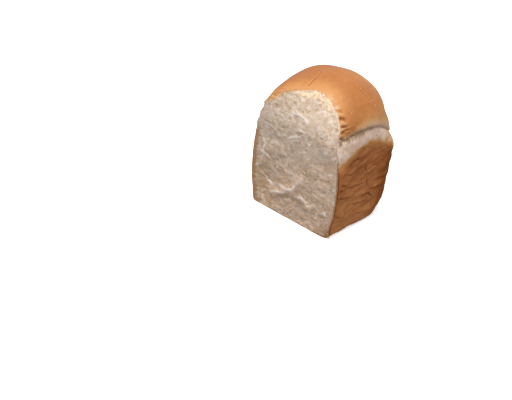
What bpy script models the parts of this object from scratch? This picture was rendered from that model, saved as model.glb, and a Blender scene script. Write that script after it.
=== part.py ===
"""Half of a tin loaf: one mound of white bread, baked in an open tin and torn off at its front end.

Frame: metres, +Z up. The loaf stands on its baked base at z = 0, with the torn end towards -Y
and the tin-baked heel towards +Y. The origin is the middle of the base's bounding box.
"""
import math

import bmesh
import bpy
from mathutils import Vector, noise

# Main sizes
HEIGHT = 0.1644            # base to the top of the dome
TEAR_Y = -0.0555           # plane of the torn end
HEEL_Y = 0.0575            # rim of the heel
PEAK_Y = -0.0150           # where the rim and the groove run highest
BACK_Y = 0.0450            # where they have come down to their height at the heel
BASE_WIDTH = 0.0557        # half width at the base
RIM_WIDTH = 0.0598         # half width at the rim of the tin
TEAR_BOW = 0.0045          # how far the sides bow out at the torn end
EDGE_RADIUS = 0.0070       # rounded edge along the base
HEEL_RADIUS = 0.0340       # rounded edge under the heel
HEEL_FLARE = 0.0025        # how much the heel leans out from base to rim

# Pale band between the tin's rim and the dome: heights at the peak, at the tear and at the heel
RIM_Z = (0.1070, 0.0920, 0.0800)
GROOVE_Z = (0.1235, 0.1160, 0.0955)
GROOVE_WIDTH = (0.0552, 0.0532)
GROOVE_HEEL = 0.0480
TORN_BAND = (0.55, 0.95)   # nearness to the tear over which the round band turns into a slope
TORN_BAND_POWER = 1.3

# Dome
DOME_Z = 0.1268            # height of its widest ring
DOME_WIDTH = (0.0592, 0.0518)
DOME_SHIFT = 0.0014        # how far the dome sits off centre, towards -X
DOME_SHIFT_Z = (0.110, 0.135)
DOME_HEEL = 0.0488
DOME_POWER = 1.84
CROWN_DROP = 0.0108        # how much lower the dome is at the torn end
CROWN_Y = -0.038           # where the torn edge crosses the top
LOPSIDE = 0.024            # sideways slope of the torn end of the dome

# Plan outlines behind the middle: squarish in the tin, nearly round in the dome
TIN_POWER = 4.2
DOME_PLAN_POWER = 2.05
PLAN_CHANGE = (0.098, 0.130)

# Torn end
LEAN_START_Z = 0.109
LEAN = 0.0173              # how far its top leans back
LEAN_SKEW = 0.157          # more towards +X
LEAN_BEND = 1.4            # less towards both sides
TEAR_SWELL = (0.028, 0.0016)     # size and depth of the slow waves
TEAR_CRAG = (0.0095, 0.0011)     # size and depth of the crags
RIDGE_POINTS = ((-0.032, 0.022), (-0.018, 0.027), (-0.006, 0.034), (0.004, 0.042), (0.012, 0.052))
RIDGE_HEIGHT = 0.0034
RIDGE_RADIUS = 0.0055
CURL_POINTS = ((0.003, 0.031), (0.012, 0.033), (0.021, 0.029), (0.025, 0.024))
CURL_SHARE = 0.65          # size of the curl against the ridge
HOLLOW = (-0.038, 0.034)
HOLLOW_RADIUS = 0.020
HOLLOW_DEPTH = 0.0040
STEP_Z = 0.100             # shallow shelf under the bulging upper crumb
STEP_RISE = 0.015
STEP_DEPTH = 0.0012
EDGE_CALM = 0.75           # how much shallower the relief is at the rim of the tear
CALM_REACH = (0.72, 0.94)  # shares of the way out between which it calms down

# Relief of the crust
UNEVEN_SIZE = 0.013
UNEVEN_DEPTH = 0.0012
WRINKLE_SIZE = (0.0090, 0.0260)  # height and length
WRINKLE_DEPTH = 0.0010
WRINKLE_SLOPE = 0.18
DIMPLE_SIZE = 0.024
DIMPLE_DEPTH = 0.0009
BAND_LUMP_SIZE = 0.011
BAND_LUMP = 0.0008
BLEND = 0.009              # height over which one kind of relief gives way to the next

# Mesh: faces along X, Y and Z
GRID = (28, 18, 34)
ROW_EASE = 0.55            # how much closer the rows lie near the base and the shoulder
EDGE_FADE = 0.004          # relief fades out over this height above the base
TEAR_FADE = 0.010          # crust relief fades out over this distance from the tear
EDGE_STEPS = 16            # rounds that settle a point of the torn edge
RELAX_ROUNDS = 30
SHARP_ANGLE = math.radians(50)

CRUST_COLOUR = (0.46, 0.20, 0.075, 1.0)
CRUST_ROUGHNESS = 0.62


def clamp(value, low=0.0, high=1.0):
    return min(max(value, low), high)


def mix(first, second, share):
    return first + (second - first) * share


def smooth_step(low, high, value):
    share = clamp((value - low) / (high - low))
    return share * share * (3.0 - 2.0 * share)


def arc(start, end, z):
    """Rises from 0 at height start to 1 at height end, as a quarter of an ellipse."""
    share = clamp((end - z) / (end - start))
    return math.sqrt(1.0 - share * share)


def tearward(y):
    """0 at the middle of the loaf and behind it, 1 at the torn end."""
    return clamp(y / TEAR_Y) ** 2


def along(y, heights):
    """A height that peaks in front of the middle, and falls towards the tear and the heel."""
    peak, tear, heel = heights
    forward = smooth_step(0.0, PEAK_Y - TEAR_Y, PEAK_Y - y)
    backward = clamp((y - PEAK_Y) / (BACK_Y - PEAK_Y)) ** 2
    return peak + (tear - peak) * forward + (heel - peak) * backward


def base_rounding(z, radius):
    """How far a wall is drawn in by its rounded edge at the base."""
    rise = radius - clamp(z, 0.0, radius)
    return radius - math.sqrt(radius * radius - rise * rise)


def unevenness(run, z):
    """How far a wall wanders from its even shape, at a distance run along it and a height z."""
    return UNEVEN_DEPTH * noise.noise(Vector((run, z, RIM_WIDTH)) / UNEVEN_SIZE)


def wall_width(y, z):
    """Half width of the tin-baked part at a height below the rim."""
    share = clamp(z / along(y, RIM_Z))
    bow = TEAR_BOW * math.sin(math.pi * share) * tearward(y)
    wander = unevenness(y, z) * (1.0 - share)
    return mix(BASE_WIDTH, RIM_WIDTH, share) + bow + wander - base_rounding(z, EDGE_RADIUS)


def dome_rise(y):
    """Height of the dome above its widest ring."""
    return HEIGHT - DOME_Z - CROWN_DROP * clamp(y / CROWN_Y, 0.0, 2.0) ** 2


def dome_share(height_share):
    """Width of the dome's profile as a share of its widest ring."""
    return (1.0 - clamp(height_share) ** DOME_POWER) ** (1.0 / DOME_POWER)


def banded(z, rim, groove, wall, groove_width, dome_width, rise, torn=0.0):
    """Outline from the wall through the pale band and its groove, and up the dome.

    The band is round where torn is 0, and slopes in from the wall where torn is 1.
    """
    if z <= rim:
        return wall
    if z <= groove:
        share = (z - rim) / (groove - rim)
        fullness = mix(math.sqrt(1.0 - share * share), 1.0 - share ** TORN_BAND_POWER, torn)
        return mix(groove_width, wall, fullness)
    if z <= DOME_Z:
        return mix(groove_width, dome_width, arc(groove, DOME_Z, z))
    return dome_width * dome_share((z - DOME_Z) / rise)


def section_width(y, z):
    """Half width of the loaf's cross-section at y and z."""
    rim = along(y, RIM_Z)
    wall = wall_width(y, min(z, rim))
    groove_width = mix(*GROOVE_WIDTH, tearward(y))
    dome_width = mix(*DOME_WIDTH, tearward(y))
    torn = smooth_step(*TORN_BAND, tearward(y))
    return banded(z, rim, along(y, GROOVE_Z), wall, groove_width, dome_width, dome_rise(y), torn)


def heel_depth(z):
    """How far back the heel reaches at height z."""
    rim = RIM_Z[2]
    share = clamp(z / rim)
    wall = HEEL_Y - HEEL_FLARE * (1.0 - share) - base_rounding(z, HEEL_RADIUS)
    return banded(z, rim, GROOVE_Z[2], wall, GROOVE_HEEL, DOME_HEEL, HEIGHT - DOME_Z)


def plan_power(z):
    return mix(TIN_POWER, DOME_PLAN_POWER, smooth_step(*PLAN_CHANGE, z))


def shoulder(y):
    """Height where the sides end and the cap of the dome begins."""
    return DOME_Z + dome_rise(y) * 0.5 ** (1.0 / DOME_POWER)


def cap_height(x, y):
    """Height of the dome over a point of its plan."""
    width = mix(*DOME_WIDTH, tearward(y))
    if y < 0.0:
        reach = abs(x) / width
    else:
        power = DOME_PLAN_POWER
        reach = ((abs(x) / width) ** power + (y / DOME_HEEL) ** power) ** (1.0 / power)
    return DOME_Z + dome_rise(y) * dome_share(reach)


def distance_to_path(x, z, path):
    """Shortest distance from a point of the torn end to a bent line on it."""
    point = Vector((x, z))
    nearest = math.inf
    for start, end in zip(path, path[1:]):
        first = Vector(start)
        run = Vector(end) - first
        share = clamp((point - first).dot(run) / run.length_squared)
        nearest = min(nearest, (point - first - run * share).length)
    return nearest


def bump(distance, radius):
    return math.exp(-(distance / radius) ** 2)


def crumb_relief(x, z):
    """How far the torn crumb stands back from its plane: crags, a curled ridge and a hollow."""
    swell_size, swell = TEAR_SWELL
    crag_size, crag = TEAR_CRAG
    depth = swell * noise.noise(Vector((x / swell_size, 3.1, z / swell_size)))
    depth += crag * noise.turbulence(Vector((x / crag_size, 7.7, z / crag_size)), 3, False)
    depth -= RIDGE_HEIGHT * bump(distance_to_path(x, z, RIDGE_POINTS), RIDGE_RADIUS)
    depth -= RIDGE_HEIGHT * CURL_SHARE * bump(distance_to_path(x, z, CURL_POINTS), RIDGE_RADIUS * CURL_SHARE)
    depth += HOLLOW_DEPTH * bump(math.dist((x, z), HOLLOW), HOLLOW_RADIUS)
    depth -= STEP_DEPTH * smooth_step(STEP_Z - STEP_RISE, STEP_Z, z)
    return depth


def torn_y(x, z):
    """Y of the torn end at x and z; its relief is shallower towards the rim."""
    crown = HEIGHT - CROWN_DROP
    share = clamp((z - LEAN_START_Z) / (crown - LEAN_START_Z), 0.0, 1.2)
    lean = (LEAN + LEAN_SKEW * x - LEAN_BEND * x * x) * share ** 1.5
    reach = math.hypot(x / RIM_WIDTH, max(z - STEP_Z, 0.0) / (crown - STEP_Z))
    calm = 1.0 - EDGE_CALM * smooth_step(*CALM_REACH, reach)
    calm *= mix(1.0 - EDGE_CALM, 1.0, smooth_step(0.0, EDGE_FADE, z))
    return TEAR_Y + lean + crumb_relief(x, z) * calm


def crown_edge(x):
    """Y and z where the torn end meets the top of the dome."""
    y = TEAR_Y + LEAN
    z = cap_height(x, y)
    for _ in range(EDGE_STEPS):
        y = (y + torn_y(x, z)) / 2.0
        z = cap_height(x, y)
    return y, z


def squircle(share, power):
    """Pulls in one side of a square plan so that its outline is a superellipse."""
    return (1.0 - 0.5 * abs(share) ** power) ** (1.0 / power)


def level_point(u, v, z, front_y):
    """Point of the loaf's level slice at height z; u and v run from -1 to 1 across the slice."""
    if v < 0.0:
        y = -v * front_y
        return u * section_width(y, z), y
    power = plan_power(z)
    wander = unevenness(u * RIM_WIDTH, z) * (1.0 - clamp(z / RIM_Z[2]))
    y = v * (heel_depth(z) + wander) * squircle(u, power)
    return u * section_width(y, z) * squircle(v, power), y


def row_height(w):
    """Share of the height at which a row lies; rows are closer near the base and the shoulder."""
    share = (w + 1.0) / 2.0
    return share - ROW_EASE * math.sin(2.0 * math.pi * share) / (2.0 * math.pi)


def tear_edge(side, w):
    """Corner between the torn end and a side: side is -1 or 1, and w runs up from -1 to 1."""
    y = TEAR_Y
    for _ in range(EDGE_STEPS):
        z = row_height(w) * shoulder(y)
        x = side * section_width(y, z)
        y = (y + torn_y(x, z)) / 2.0
    return x, y, z


def front_point(u, w):
    """Point of the torn end."""
    side = math.copysign(1.0, u)
    edge_x = tear_edge(side, w)[0]
    shoulder_x = tear_edge(side, 1.0)[0]
    top = crown_edge(abs(u) * shoulder_x)[1]
    x = abs(u) * edge_x
    z = row_height(w) * top
    return Vector((x, torn_y(x, z), z))


def wall_point(u, v, w):
    """Point of a side, of the heel or of the base."""
    front_y = tear_edge(math.copysign(1.0, u), w)[1]
    z = row_height(w) * shoulder(min(v, 0.0) * -front_y)
    x, y = level_point(u, v, z, front_y)
    return Vector((x, y, z))


def cap_point(u, v):
    """Point of the cap of the dome."""
    shoulder_x = tear_edge(math.copysign(1.0, u), 1.0)[0]
    front_y = crown_edge(abs(u) * shoulder_x)[0]
    ring = shoulder(min(v, 0.0) * -front_y)
    x, y = level_point(u, v, ring, front_y)
    return Vector((x, y, cap_height(x, y)))


def loaf_point(corner):
    """Moves a point of the starting cube to its place on the loaf."""
    u, v, w = corner
    if v < 0.0 and not inside(v):
        return front_point(u, w)
    if w > 0.0 and not inside(w):
        return cap_point(u, v)
    return wall_point(u, v, w)


def lopsided(point):
    """Tilts the torn end of the dome down towards -X and sets the dome off centre."""
    height = smooth_step(GROOVE_Z[0], HEIGHT, point.z)
    front = smooth_step(0.0, CROWN_Y, point.y)
    shift = DOME_SHIFT * smooth_step(*DOME_SHIFT_Z, point.z)
    return point + Vector((-shift, 0.0, LOPSIDE * point.x * height * front))


def crust_relief(point):
    """Height of the crust's relief at a point: wrinkles in the tin, lumps in the band, dimples above."""
    rim = along(point.y, RIM_Z)
    groove = along(point.y, GROOVE_Z)
    in_tin = 1.0 - smooth_step(rim - BLEND, rim, point.z)
    on_dome = smooth_step(groove, groove + BLEND, point.z)
    in_band = (1.0 - in_tin) * (1.0 - on_dome)
    height, length = WRINKLE_SIZE
    slanted = point.z - WRINKLE_SLOPE * point.y
    wrinkle = noise.turbulence(Vector((point.x / length, point.y / length, slanted / height)), 2, False)
    lump = noise.noise(point / BAND_LUMP_SIZE)
    dimple = noise.noise(point / DIMPLE_SIZE + Vector((5.0, 0.0, 2.0)))
    relief = -WRINKLE_DEPTH * wrinkle * in_tin + BAND_LUMP * lump * in_band + DIMPLE_DEPTH * dimple * on_dome
    from_tear = point.y - torn_y(point.x, point.z)
    return relief * smooth_step(0.0, EDGE_FADE, point.z) * smooth_step(0.0, TEAR_FADE, from_tear)


def relax(mesh, inner, place):
    """Evens out the spacing of the points of one side, then puts each back on its surface."""
    for _ in range(RELAX_ROUNDS):
        bmesh.ops.smooth_vert(
            mesh, verts=inner, factor=0.5, use_axis_x=True, use_axis_y=True, use_axis_z=True)
    for vert in inner:
        vert.co = place(vert.co)


def on_tear(point):
    return Vector((point.x, torn_y(point.x, point.z), point.z))


def on_cap(point):
    return Vector((point.x, point.y, cap_height(point.x, point.y)))


def divided_cube():
    """Cube from -1 to 1, divided into a grid on every side."""
    mesh = bmesh.new()
    bmesh.ops.create_cube(mesh, size=2.0)
    for axis, count in enumerate(GRID):
        edges = [edge for edge in mesh.edges if abs(edge.verts[0].co[axis] - edge.verts[1].co[axis]) > 1.0]
        bmesh.ops.subdivide_edges(mesh, edges=edges, cuts=count - 1, use_grid_fill=True)
    return mesh


def inside(value):
    return abs(value) < 0.999


def loaf_mesh():
    """Closed mesh of the loaf, shaped from a divided cube."""
    mesh = divided_cube()
    tear = [vert for vert in mesh.verts if vert.co.y < 0.0 and not inside(vert.co.y)]
    tear_inner = [vert for vert in tear if inside(vert.co.x) and inside(vert.co.z)]
    cap_inner = [vert for vert in mesh.verts if vert.co.z > 0.999 and inside(vert.co.x) and inside(vert.co.y)]
    crust = [vert for vert in mesh.verts if vert not in tear]
    for vert in mesh.verts:
        vert.co = loaf_point(vert.co)
    relax(mesh, tear_inner, on_tear)
    relax(mesh, cap_inner, on_cap)
    for vert in mesh.verts:
        vert.co = lopsided(vert.co)
    mesh.normal_update()
    places = [vert.co + vert.normal * crust_relief(vert.co) for vert in crust]
    for vert, place in zip(crust, places):
        vert.co = place
    return mesh


def centre_on_base(mesh):
    """Puts the middle of the bounding box over the origin, with the base at z = 0."""
    middles = []
    for axis in (0, 1):
        places = [vert.co[axis] for vert in mesh.verts]
        middles.append((min(places) + max(places)) / 2.0)
    lowest = min(vert.co.z for vert in mesh.verts)
    bmesh.ops.translate(mesh, vec=(-middles[0], -middles[1], -lowest), verts=mesh.verts)


def crust_material():
    material = bpy.data.materials.new("baked_crust")
    material.use_nodes = True
    shader = material.node_tree.nodes["Principled BSDF"]
    shader.inputs["Base Color"].default_value = CRUST_COLOUR
    shader.inputs["Roughness"].default_value = CRUST_ROUGHNESS
    shader.inputs["Metallic"].default_value = 0.0
    return material


def build_loaf(collection):
    """The whole half loaf as one solid."""
    shape = loaf_mesh()
    centre_on_base(shape)
    mesh = bpy.data.meshes.new("loaf")
    shape.to_mesh(mesh)
    shape.free()
    mesh.shade_smooth()
    mesh.set_sharp_from_angle(angle=SHARP_ANGLE)
    mesh.materials.append(crust_material())
    loaf = bpy.data.objects.new("loaf", mesh)
    collection.objects.link(loaf)
    return loaf


def clear_scene():
    for thing in list(bpy.data.objects):
        bpy.data.objects.remove(thing, do_unlink=True)


def main():
    clear_scene()
    collection = bpy.data.collections.new("tin_loaf")
    bpy.context.scene.collection.children.link(collection)
    build_loaf(collection)


main()
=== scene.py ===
"""Looks of half a tin loaf, torn off at its front end and standing on its baked base.

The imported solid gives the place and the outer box. Finely meshed pieces stand for it: the torn crumb,
the crust baked in the tin, the crust of the dome, and loose strands of crumb that lie on them.
Metres, +Z up, with the torn end towards -Y.
"""

import logging
import math
import random
from collections.abc import Sequence
from dataclasses import dataclass
from enum import Enum

import bpy
import numpy as np
from mathutils import Matrix, Vector, noise


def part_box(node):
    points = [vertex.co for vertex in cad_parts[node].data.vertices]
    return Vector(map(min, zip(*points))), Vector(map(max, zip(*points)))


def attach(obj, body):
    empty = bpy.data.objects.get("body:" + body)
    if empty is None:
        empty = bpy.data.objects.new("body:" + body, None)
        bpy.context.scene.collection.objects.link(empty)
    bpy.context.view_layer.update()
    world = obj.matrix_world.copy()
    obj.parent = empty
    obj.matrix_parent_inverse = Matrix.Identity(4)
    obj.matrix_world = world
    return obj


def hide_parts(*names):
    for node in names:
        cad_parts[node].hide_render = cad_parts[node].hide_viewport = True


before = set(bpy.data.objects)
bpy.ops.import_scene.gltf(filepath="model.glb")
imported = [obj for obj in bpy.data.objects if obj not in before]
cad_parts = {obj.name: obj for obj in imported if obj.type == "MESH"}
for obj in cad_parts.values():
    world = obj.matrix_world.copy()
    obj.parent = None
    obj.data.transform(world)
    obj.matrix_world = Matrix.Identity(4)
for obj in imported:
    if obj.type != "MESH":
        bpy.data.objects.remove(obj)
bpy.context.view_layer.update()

NODE = "loaf"
BODY = "root"
MM = 0.001
EDGE_ZONE = 0.008
THREAD_SIDES = 5

Array = np.ndarray
Colour = tuple[float, float, float]
Place = tuple[float, float]
Triple = tuple[float, float, float]

log = logging.getLogger("tin_loaf")


class Slot(Enum):
    """Names of the material slots."""

    CRUST = "crust"
    CRUMB = "crumb"


def mix(first: Array | float, second: Array | float, share: Array | float) -> Array | float:
    """Value between first and second."""
    return first + (second - first) * share


def smooth_step(low: float, high: float, value: Array) -> Array:
    """Rises smoothly from 0 at low to 1 at high."""
    share = np.clip((value - low) / (high - low), 0.0, 1.0)
    return share * share * (3.0 - 2.0 * share)


def hump(distance: Array, radius: float) -> Array:
    """Rounded hump of height 1 that falls off with distance."""
    return np.exp(-((distance / radius) ** 2))


def noise_at(places: Array, size: float | Triple, shift: float | Triple = 0.0, octaves: int = 0) -> Array:
    """Noise at many places: smooth, or craggy where it has octaves.

    Args:
        places: Points, with X, Y and Z along the last axis.
        size: Size of the largest swell, or one size for each axis.
        shift: Moves the pattern, so that two patterns of one size differ.
        octaves: How many finer layers craggy noise has, or 0 for smooth noise.

    Returns:
        One value for each point, from about -1 to 1 where the noise is smooth.
    """
    scaled = (places / np.asarray(size) + shift).reshape(-1, 3).tolist()
    if octaves:
        values = [noise.turbulence(place, octaves, False) for place in scaled]
    else:
        values = [noise.noise(place) for place in scaled]
    return np.array(values, float).reshape(places.shape[:-1])


def stack(*parts: Array | float) -> Array:
    """Points from their X, Y and Z, each an array or one number."""
    return np.stack(np.broadcast_arrays(*parts), axis=-1).astype(float)


def path_nearness(places: Array, path: Array) -> tuple[Array, Array]:
    """Distance from points to a bent line.

    Args:
        places: Points with two coordinates each, one to a row.
        path: Corners of the line, one to a row.

    Returns:
        The distance of each point, and how far along the line its nearest place is, from 0 to 1.
    """
    nearest = np.full(len(places), np.inf)
    reached = np.zeros(len(places))
    count = len(path) - 1
    for index in range(count):
        start, run = path[index], path[index + 1] - path[index]
        share = np.clip((places - start) @ run / (run @ run), 0.0, 1.0)
        distance = np.linalg.norm(places - start - share[:, None] * run, axis=1)
        closer = distance < nearest
        nearest = np.where(closer, distance, nearest)
        reached = np.where(closer, (index + share) / count, reached)
    return nearest, reached


@dataclass(frozen=True)
class Fade:
    """Amount that changes smoothly from one value to another between two places."""

    start: float
    end: float
    before: float = 0.0
    after: float = 1.0

    def at(self, place: Array) -> Array:
        """Amount at many places."""
        return mix(self.before, self.after, smooth_step(self.start, self.end, place))


@dataclass(frozen=True)
class Belt:
    """Rounded hump along one axis, with its amount at the middle."""

    middle: float
    reach: float
    amount: float = 1.0

    def at(self, place: Array) -> Array:
        """Amount at many places along the axis."""
        return self.amount * hump(place - self.middle, self.reach)


@dataclass(frozen=True)
class Spot:
    """Rounded spot on a face, with its amount at the middle; a squash under 1 makes it taller."""

    run: float
    z: float
    radius: float
    amount: float = 1.0
    squash: float = 1.0

    def at(self, run: Array, z: Array) -> Array:
        """Amount at many places of the face."""
        return self.amount * hump(np.hypot(run - self.run, (z - self.z) * self.squash), self.radius)


@dataclass(frozen=True)
class Swells:
    """Layer of noise: its depth, the size of its swells, a shift that sets it apart, and its crags."""

    depth: float
    size: float | Triple
    shift: float | Triple = 0.0
    octaves: int = 0

    def at(self, places: Array) -> Array:
        """Height of the layer at many places."""
        return self.depth * noise_at(places, self.size, self.shift, self.octaves)


@dataclass(frozen=True)
class Patches:
    """Patches where a noise rises from one limit to another, with their amount inside."""

    size: float | Triple
    shift: float
    limits: Place
    amount: float = 1.0

    def at(self, places: Array) -> Array:
        """Amount at many places."""
        return self.amount * smooth_step(*self.limits, noise_at(places, self.size, self.shift))


@dataclass(frozen=True)
class Lines:
    """Thin bent lines between the swells of a noise, with their amount along the middle."""

    size: Triple
    shift: float
    amount: float = 1.0
    thinness: float = 2.2

    def at(self, places: Array) -> Array:
        """Amount at many places."""
        away = np.minimum(np.abs(noise_at(places, self.size, self.shift)) * self.thinness, 1.0)
        return self.amount * (1.0 - away) ** 3


@dataclass(frozen=True)
class Bend:
    """Bent line on a face: a thread and how far it rises, or a fold and how deep it is, with its width."""

    path: tuple[Place, ...]
    rise: float
    width: float


@dataclass(frozen=True)
class LoafForm:
    """Main form of the loaf, in metres, with the torn end towards -Y."""

    height: float = 0.1644
    tear_y: float = -0.0555
    heel_y: float = 0.0575
    back_y: float = 0.0450
    peak_y: float = -0.0150
    base_width: float = 0.0557
    rim_width: float = 0.0598
    tear_bow: float = 0.0045
    edge_radius: Place = (0.0070, 0.0042)
    heel_radius: float = 0.0340
    heel_flare: float = 0.0025
    rim_z: Triple = (0.1070, 0.0920, 0.0800)
    groove_z: Triple = (0.1213, 0.1160, 0.0955)
    groove_width: Place = (0.0552, 0.0532)
    groove_heel: float = 0.0480
    dome_z: float = 0.1248
    dome_width: Place = (0.0592, 0.0518)
    dome_shift: Fade = Fade(0.110, 0.135, 0.0, 0.0014)
    shoulder_in: Belt = Belt(0.1288, 0.0048, 0.0021)
    shoulder_out: Belt = Belt(0.1115, 0.0050, 0.0013)
    shoulder_x: Fade = Fade(-0.030, -0.050)
    dome_heel: float = 0.0488
    dome_power: float = 1.92
    crown_drop: float = 0.0108
    crown_y: float = -0.038
    lopside: float = 0.024
    tin_power: float = 4.2
    dome_plan_power: float = 2.05
    plan_change: Place = (0.098, 0.130)
    lean_start_z: float = 0.109
    lean: float = 0.0173
    lean_skew: float = 0.157
    lean_bend: float = 1.4
    swell: Swells = Swells(0.0016, 0.028, (0.0, 3.1, 0.0))
    crag: Swells = Swells(0.0011, 0.0095, (0.0, 7.7, 0.0), 3)
    crag_share: Fade = Fade(0.060, 0.100, 1.0, 0.35)
    ridge: tuple[Place, ...] = (
        (-0.032, 0.022), (-0.018, 0.027), (-0.006, 0.034), (0.004, 0.042), (0.012, 0.052))
    ridge_height: float = 0.0027
    ridge_radius: float = 0.0055
    curl: tuple[Place, ...] = ((0.003, 0.031), (0.012, 0.033), (0.021, 0.029), (0.025, 0.024))
    curl_share: float = 0.65
    hollow: Spot = Spot(-0.038, 0.034, 0.020, 0.0040)
    step_z: float = 0.100
    step_rise: float = 0.015
    step_depth: float = 0.0012
    edge_calm: float = 0.75
    calm_reach: Place = (0.72, 0.94)
    uneven: Swells = Swells(0.0012, 0.013)
    edge_fade: float = 0.004
    edge_rounds: int = 24
    rags: tuple[Swells, ...] = (Swells(0.0011, 0.0042, 31.0), Swells(0.0004, 0.0017, 31.0))
    rag_share: float = 0.22
    rag_z: Fade = Fade(0.088, 0.108, 0.2)
    rag_x: Fade = Fade(-0.048, -0.034, 0.35)
    corner: Belt = Belt(base_width, 0.007, 0.0025)
    corner_z: Fade = Fade(0.014, 0.0)
    band_rags: tuple[Swells, ...] = (Swells(0.0016, 0.0075, 41.0), Swells(0.0007, 0.0030, 41.0))
    band_rag_end: Fade = Fade(0.55, 0.95)
    band_rag_low: Fade = Fade(-0.006, 0.004)
    band_rag_top: Fade = Fade(0.132, 0.122)
    torn_band_power: float = 1.3

    def tearward(self, y: Array) -> Array:
        """0 at the middle of the loaf and behind it, 1 at the torn end."""
        return np.clip(y / self.tear_y, 0.0, 1.0) ** 2

    def along(self, y: Array, heights: Triple) -> Array:
        """Height that peaks in front of the middle, and falls towards the tear and the heel."""
        peak, tear, heel = heights
        forward = smooth_step(0.0, self.peak_y - self.tear_y, self.peak_y - y)
        backward = np.clip((y - self.peak_y) / (self.back_y - self.peak_y), 0.0, 1.0) ** 2
        return peak + (tear - peak) * forward + (heel - peak) * backward

    @staticmethod
    def base_rounding(z: Array, radius: Array | float) -> Array:
        """How far a wall is drawn in by its rounded edge at the base."""
        rise = radius - np.clip(z, 0.0, radius)
        return radius - np.sqrt(radius * radius - rise * rise)

    def unevenness(self, run: Array, z: Array) -> Array:
        """How far a wall wanders from its even shape, at a distance run along it."""
        return self.uneven.at(stack(run, z, self.rim_width))

    def wall_width(self, y: Array, z: Array) -> Array:
        """Half width of the tin-baked part at a height below the rim."""
        share = np.clip(z / self.along(y, self.rim_z), 0.0, 1.0)
        bow = self.tear_bow * np.sin(math.pi * share) * self.tearward(y)
        wander = self.unevenness(y, z) * (1.0 - share)
        rounding = self.base_rounding(z, mix(*self.edge_radius, self.tearward(y)))
        return mix(self.base_width, self.rim_width, share) + bow + wander - rounding

    def dome_rise(self, y: Array) -> Array:
        """Height of the dome above its widest ring."""
        return self.height - self.dome_z - self.crown_drop * np.clip(y / self.crown_y, 0.0, 2.0) ** 2

    def dome_share(self, share: Array) -> Array:
        """Width of the dome's profile as a share of its widest ring."""
        return (1.0 - np.clip(share, 0.0, 1.0) ** self.dome_power) ** (1.0 / self.dome_power)

    def banded(self, z: Array, rim: Array, groove: Array, wall: Array, neck: Array, dome: Array, rise: Array,
               torn: Array | float = 0.0) -> Array:
        """Outline from the wall through the pale band and its groove, and up the dome.

        Args:
            z: Heights.
            rim: Height of the tin's rim.
            groove: Height of the groove.
            wall: Reach of the wall at the rim.
            neck: Reach in the groove.
            dome: Reach of the dome's widest ring.
            rise: Height of the dome above that ring.
            torn: 1 where the band is torn off and runs straighter.

        Returns:
            The reach at each height.
        """
        in_band = np.clip((z - rim) / (groove - rim), 0.0, 1.0)
        bulge = mix(np.sqrt(1.0 - in_band * in_band), 1.0 - in_band ** self.torn_band_power, torn)
        band = neck + (wall - neck) * bulge
        under = np.clip((self.dome_z - z) / (self.dome_z - groove), 0.0, 1.0)
        lip = mix(neck, dome, np.sqrt(1.0 - under * under))
        over = dome * self.dome_share((z - self.dome_z) / rise)
        return np.where(z <= rim, wall, np.where(z <= groove, band, np.where(z <= self.dome_z, lip, over)))

    def section_width(self, y: Array, z: Array) -> Array:
        """Half width of the loaf's cross-section at y and z."""
        rim = self.along(y, self.rim_z)
        wall = self.wall_width(y, np.minimum(z, rim))
        neck = mix(*self.groove_width, self.tearward(y))
        dome = mix(*self.dome_width, self.tearward(y))
        near = self.band_rag_end.at(self.tearward(y))
        outline = self.banded(z, rim, self.along(y, self.groove_z), wall, neck, dome, self.dome_rise(y), near)
        return outline + self.band_fluff(y, z) * near

    def band_fluff(self, y: Array, z: Array) -> Array:
        """Loose lumps of crumb at the torn end of the pale band."""
        places = stack(y, z, 0.0)
        lumps = sum(rag.at(places) for rag in self.band_rags)
        return lumps * self.band_rag_low.at(z - self.rim_z[1]) * self.band_rag_top.at(z)

    def heel_depth(self, z: Array) -> Array:
        """How far back the heel reaches at height z."""
        rim = self.rim_z[2]
        share = np.clip(z / rim, 0.0, 1.0)
        wall = self.heel_y - self.heel_flare * (1.0 - share) - self.base_rounding(z, self.heel_radius)
        rise = self.height - self.dome_z
        return self.banded(z, rim, self.groove_z[2], wall, self.groove_heel, self.dome_heel, rise)

    def shoulder(self, y: Array) -> Array:
        """Height where the sides end and the cap of the dome begins."""
        return self.dome_z + self.dome_rise(y) * 0.5 ** (1.0 / self.dome_power)

    def cap_height(self, x: Array, y: Array) -> Array:
        """Height of the dome over a point of its plan."""
        width = mix(*self.dome_width, self.tearward(y))
        power = self.dome_plan_power
        behind = np.clip(y, 0.0, None) / self.dome_heel
        reach = ((np.abs(x) / width) ** power + behind ** power) ** (1.0 / power)
        return self.dome_z + self.dome_rise(y) * self.dome_share(reach)

    def crumb_relief(self, x: Array, z: Array) -> Array:
        """How far the torn crumb stands back from its plane: crags, a curled ridge and a hollow."""
        places = stack(x, 0.0, z)
        depth = self.swell.at(places) + self.crag.at(places) * self.crag_share.at(z)
        flat = np.stack([x, z], axis=-1).reshape(-1, 2)
        to_ridge = path_nearness(flat, np.array(self.ridge))[0].reshape(x.shape)
        to_curl = path_nearness(flat, np.array(self.curl))[0].reshape(x.shape)
        depth -= self.ridge_height * hump(to_ridge, self.ridge_radius)
        depth -= self.ridge_height * self.curl_share * hump(to_curl, self.ridge_radius * self.curl_share)
        depth += self.hollow.at(x, z)
        return depth - self.step_depth * smooth_step(self.step_z - self.step_rise, self.step_z, z)

    def ragged_relief(self, x: Array, z: Array) -> Array:
        """Small rags of the tear, which show most along its edges."""
        places = stack(x, 0.0, z)
        rags = sum(rag.at(places) for rag in self.rags) * self.rag_z.at(z) * self.rag_x.at(x)
        return rags * smooth_step(0.0, self.edge_fade, z) + self.corner.at(x) * self.corner_z.at(z)

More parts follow.
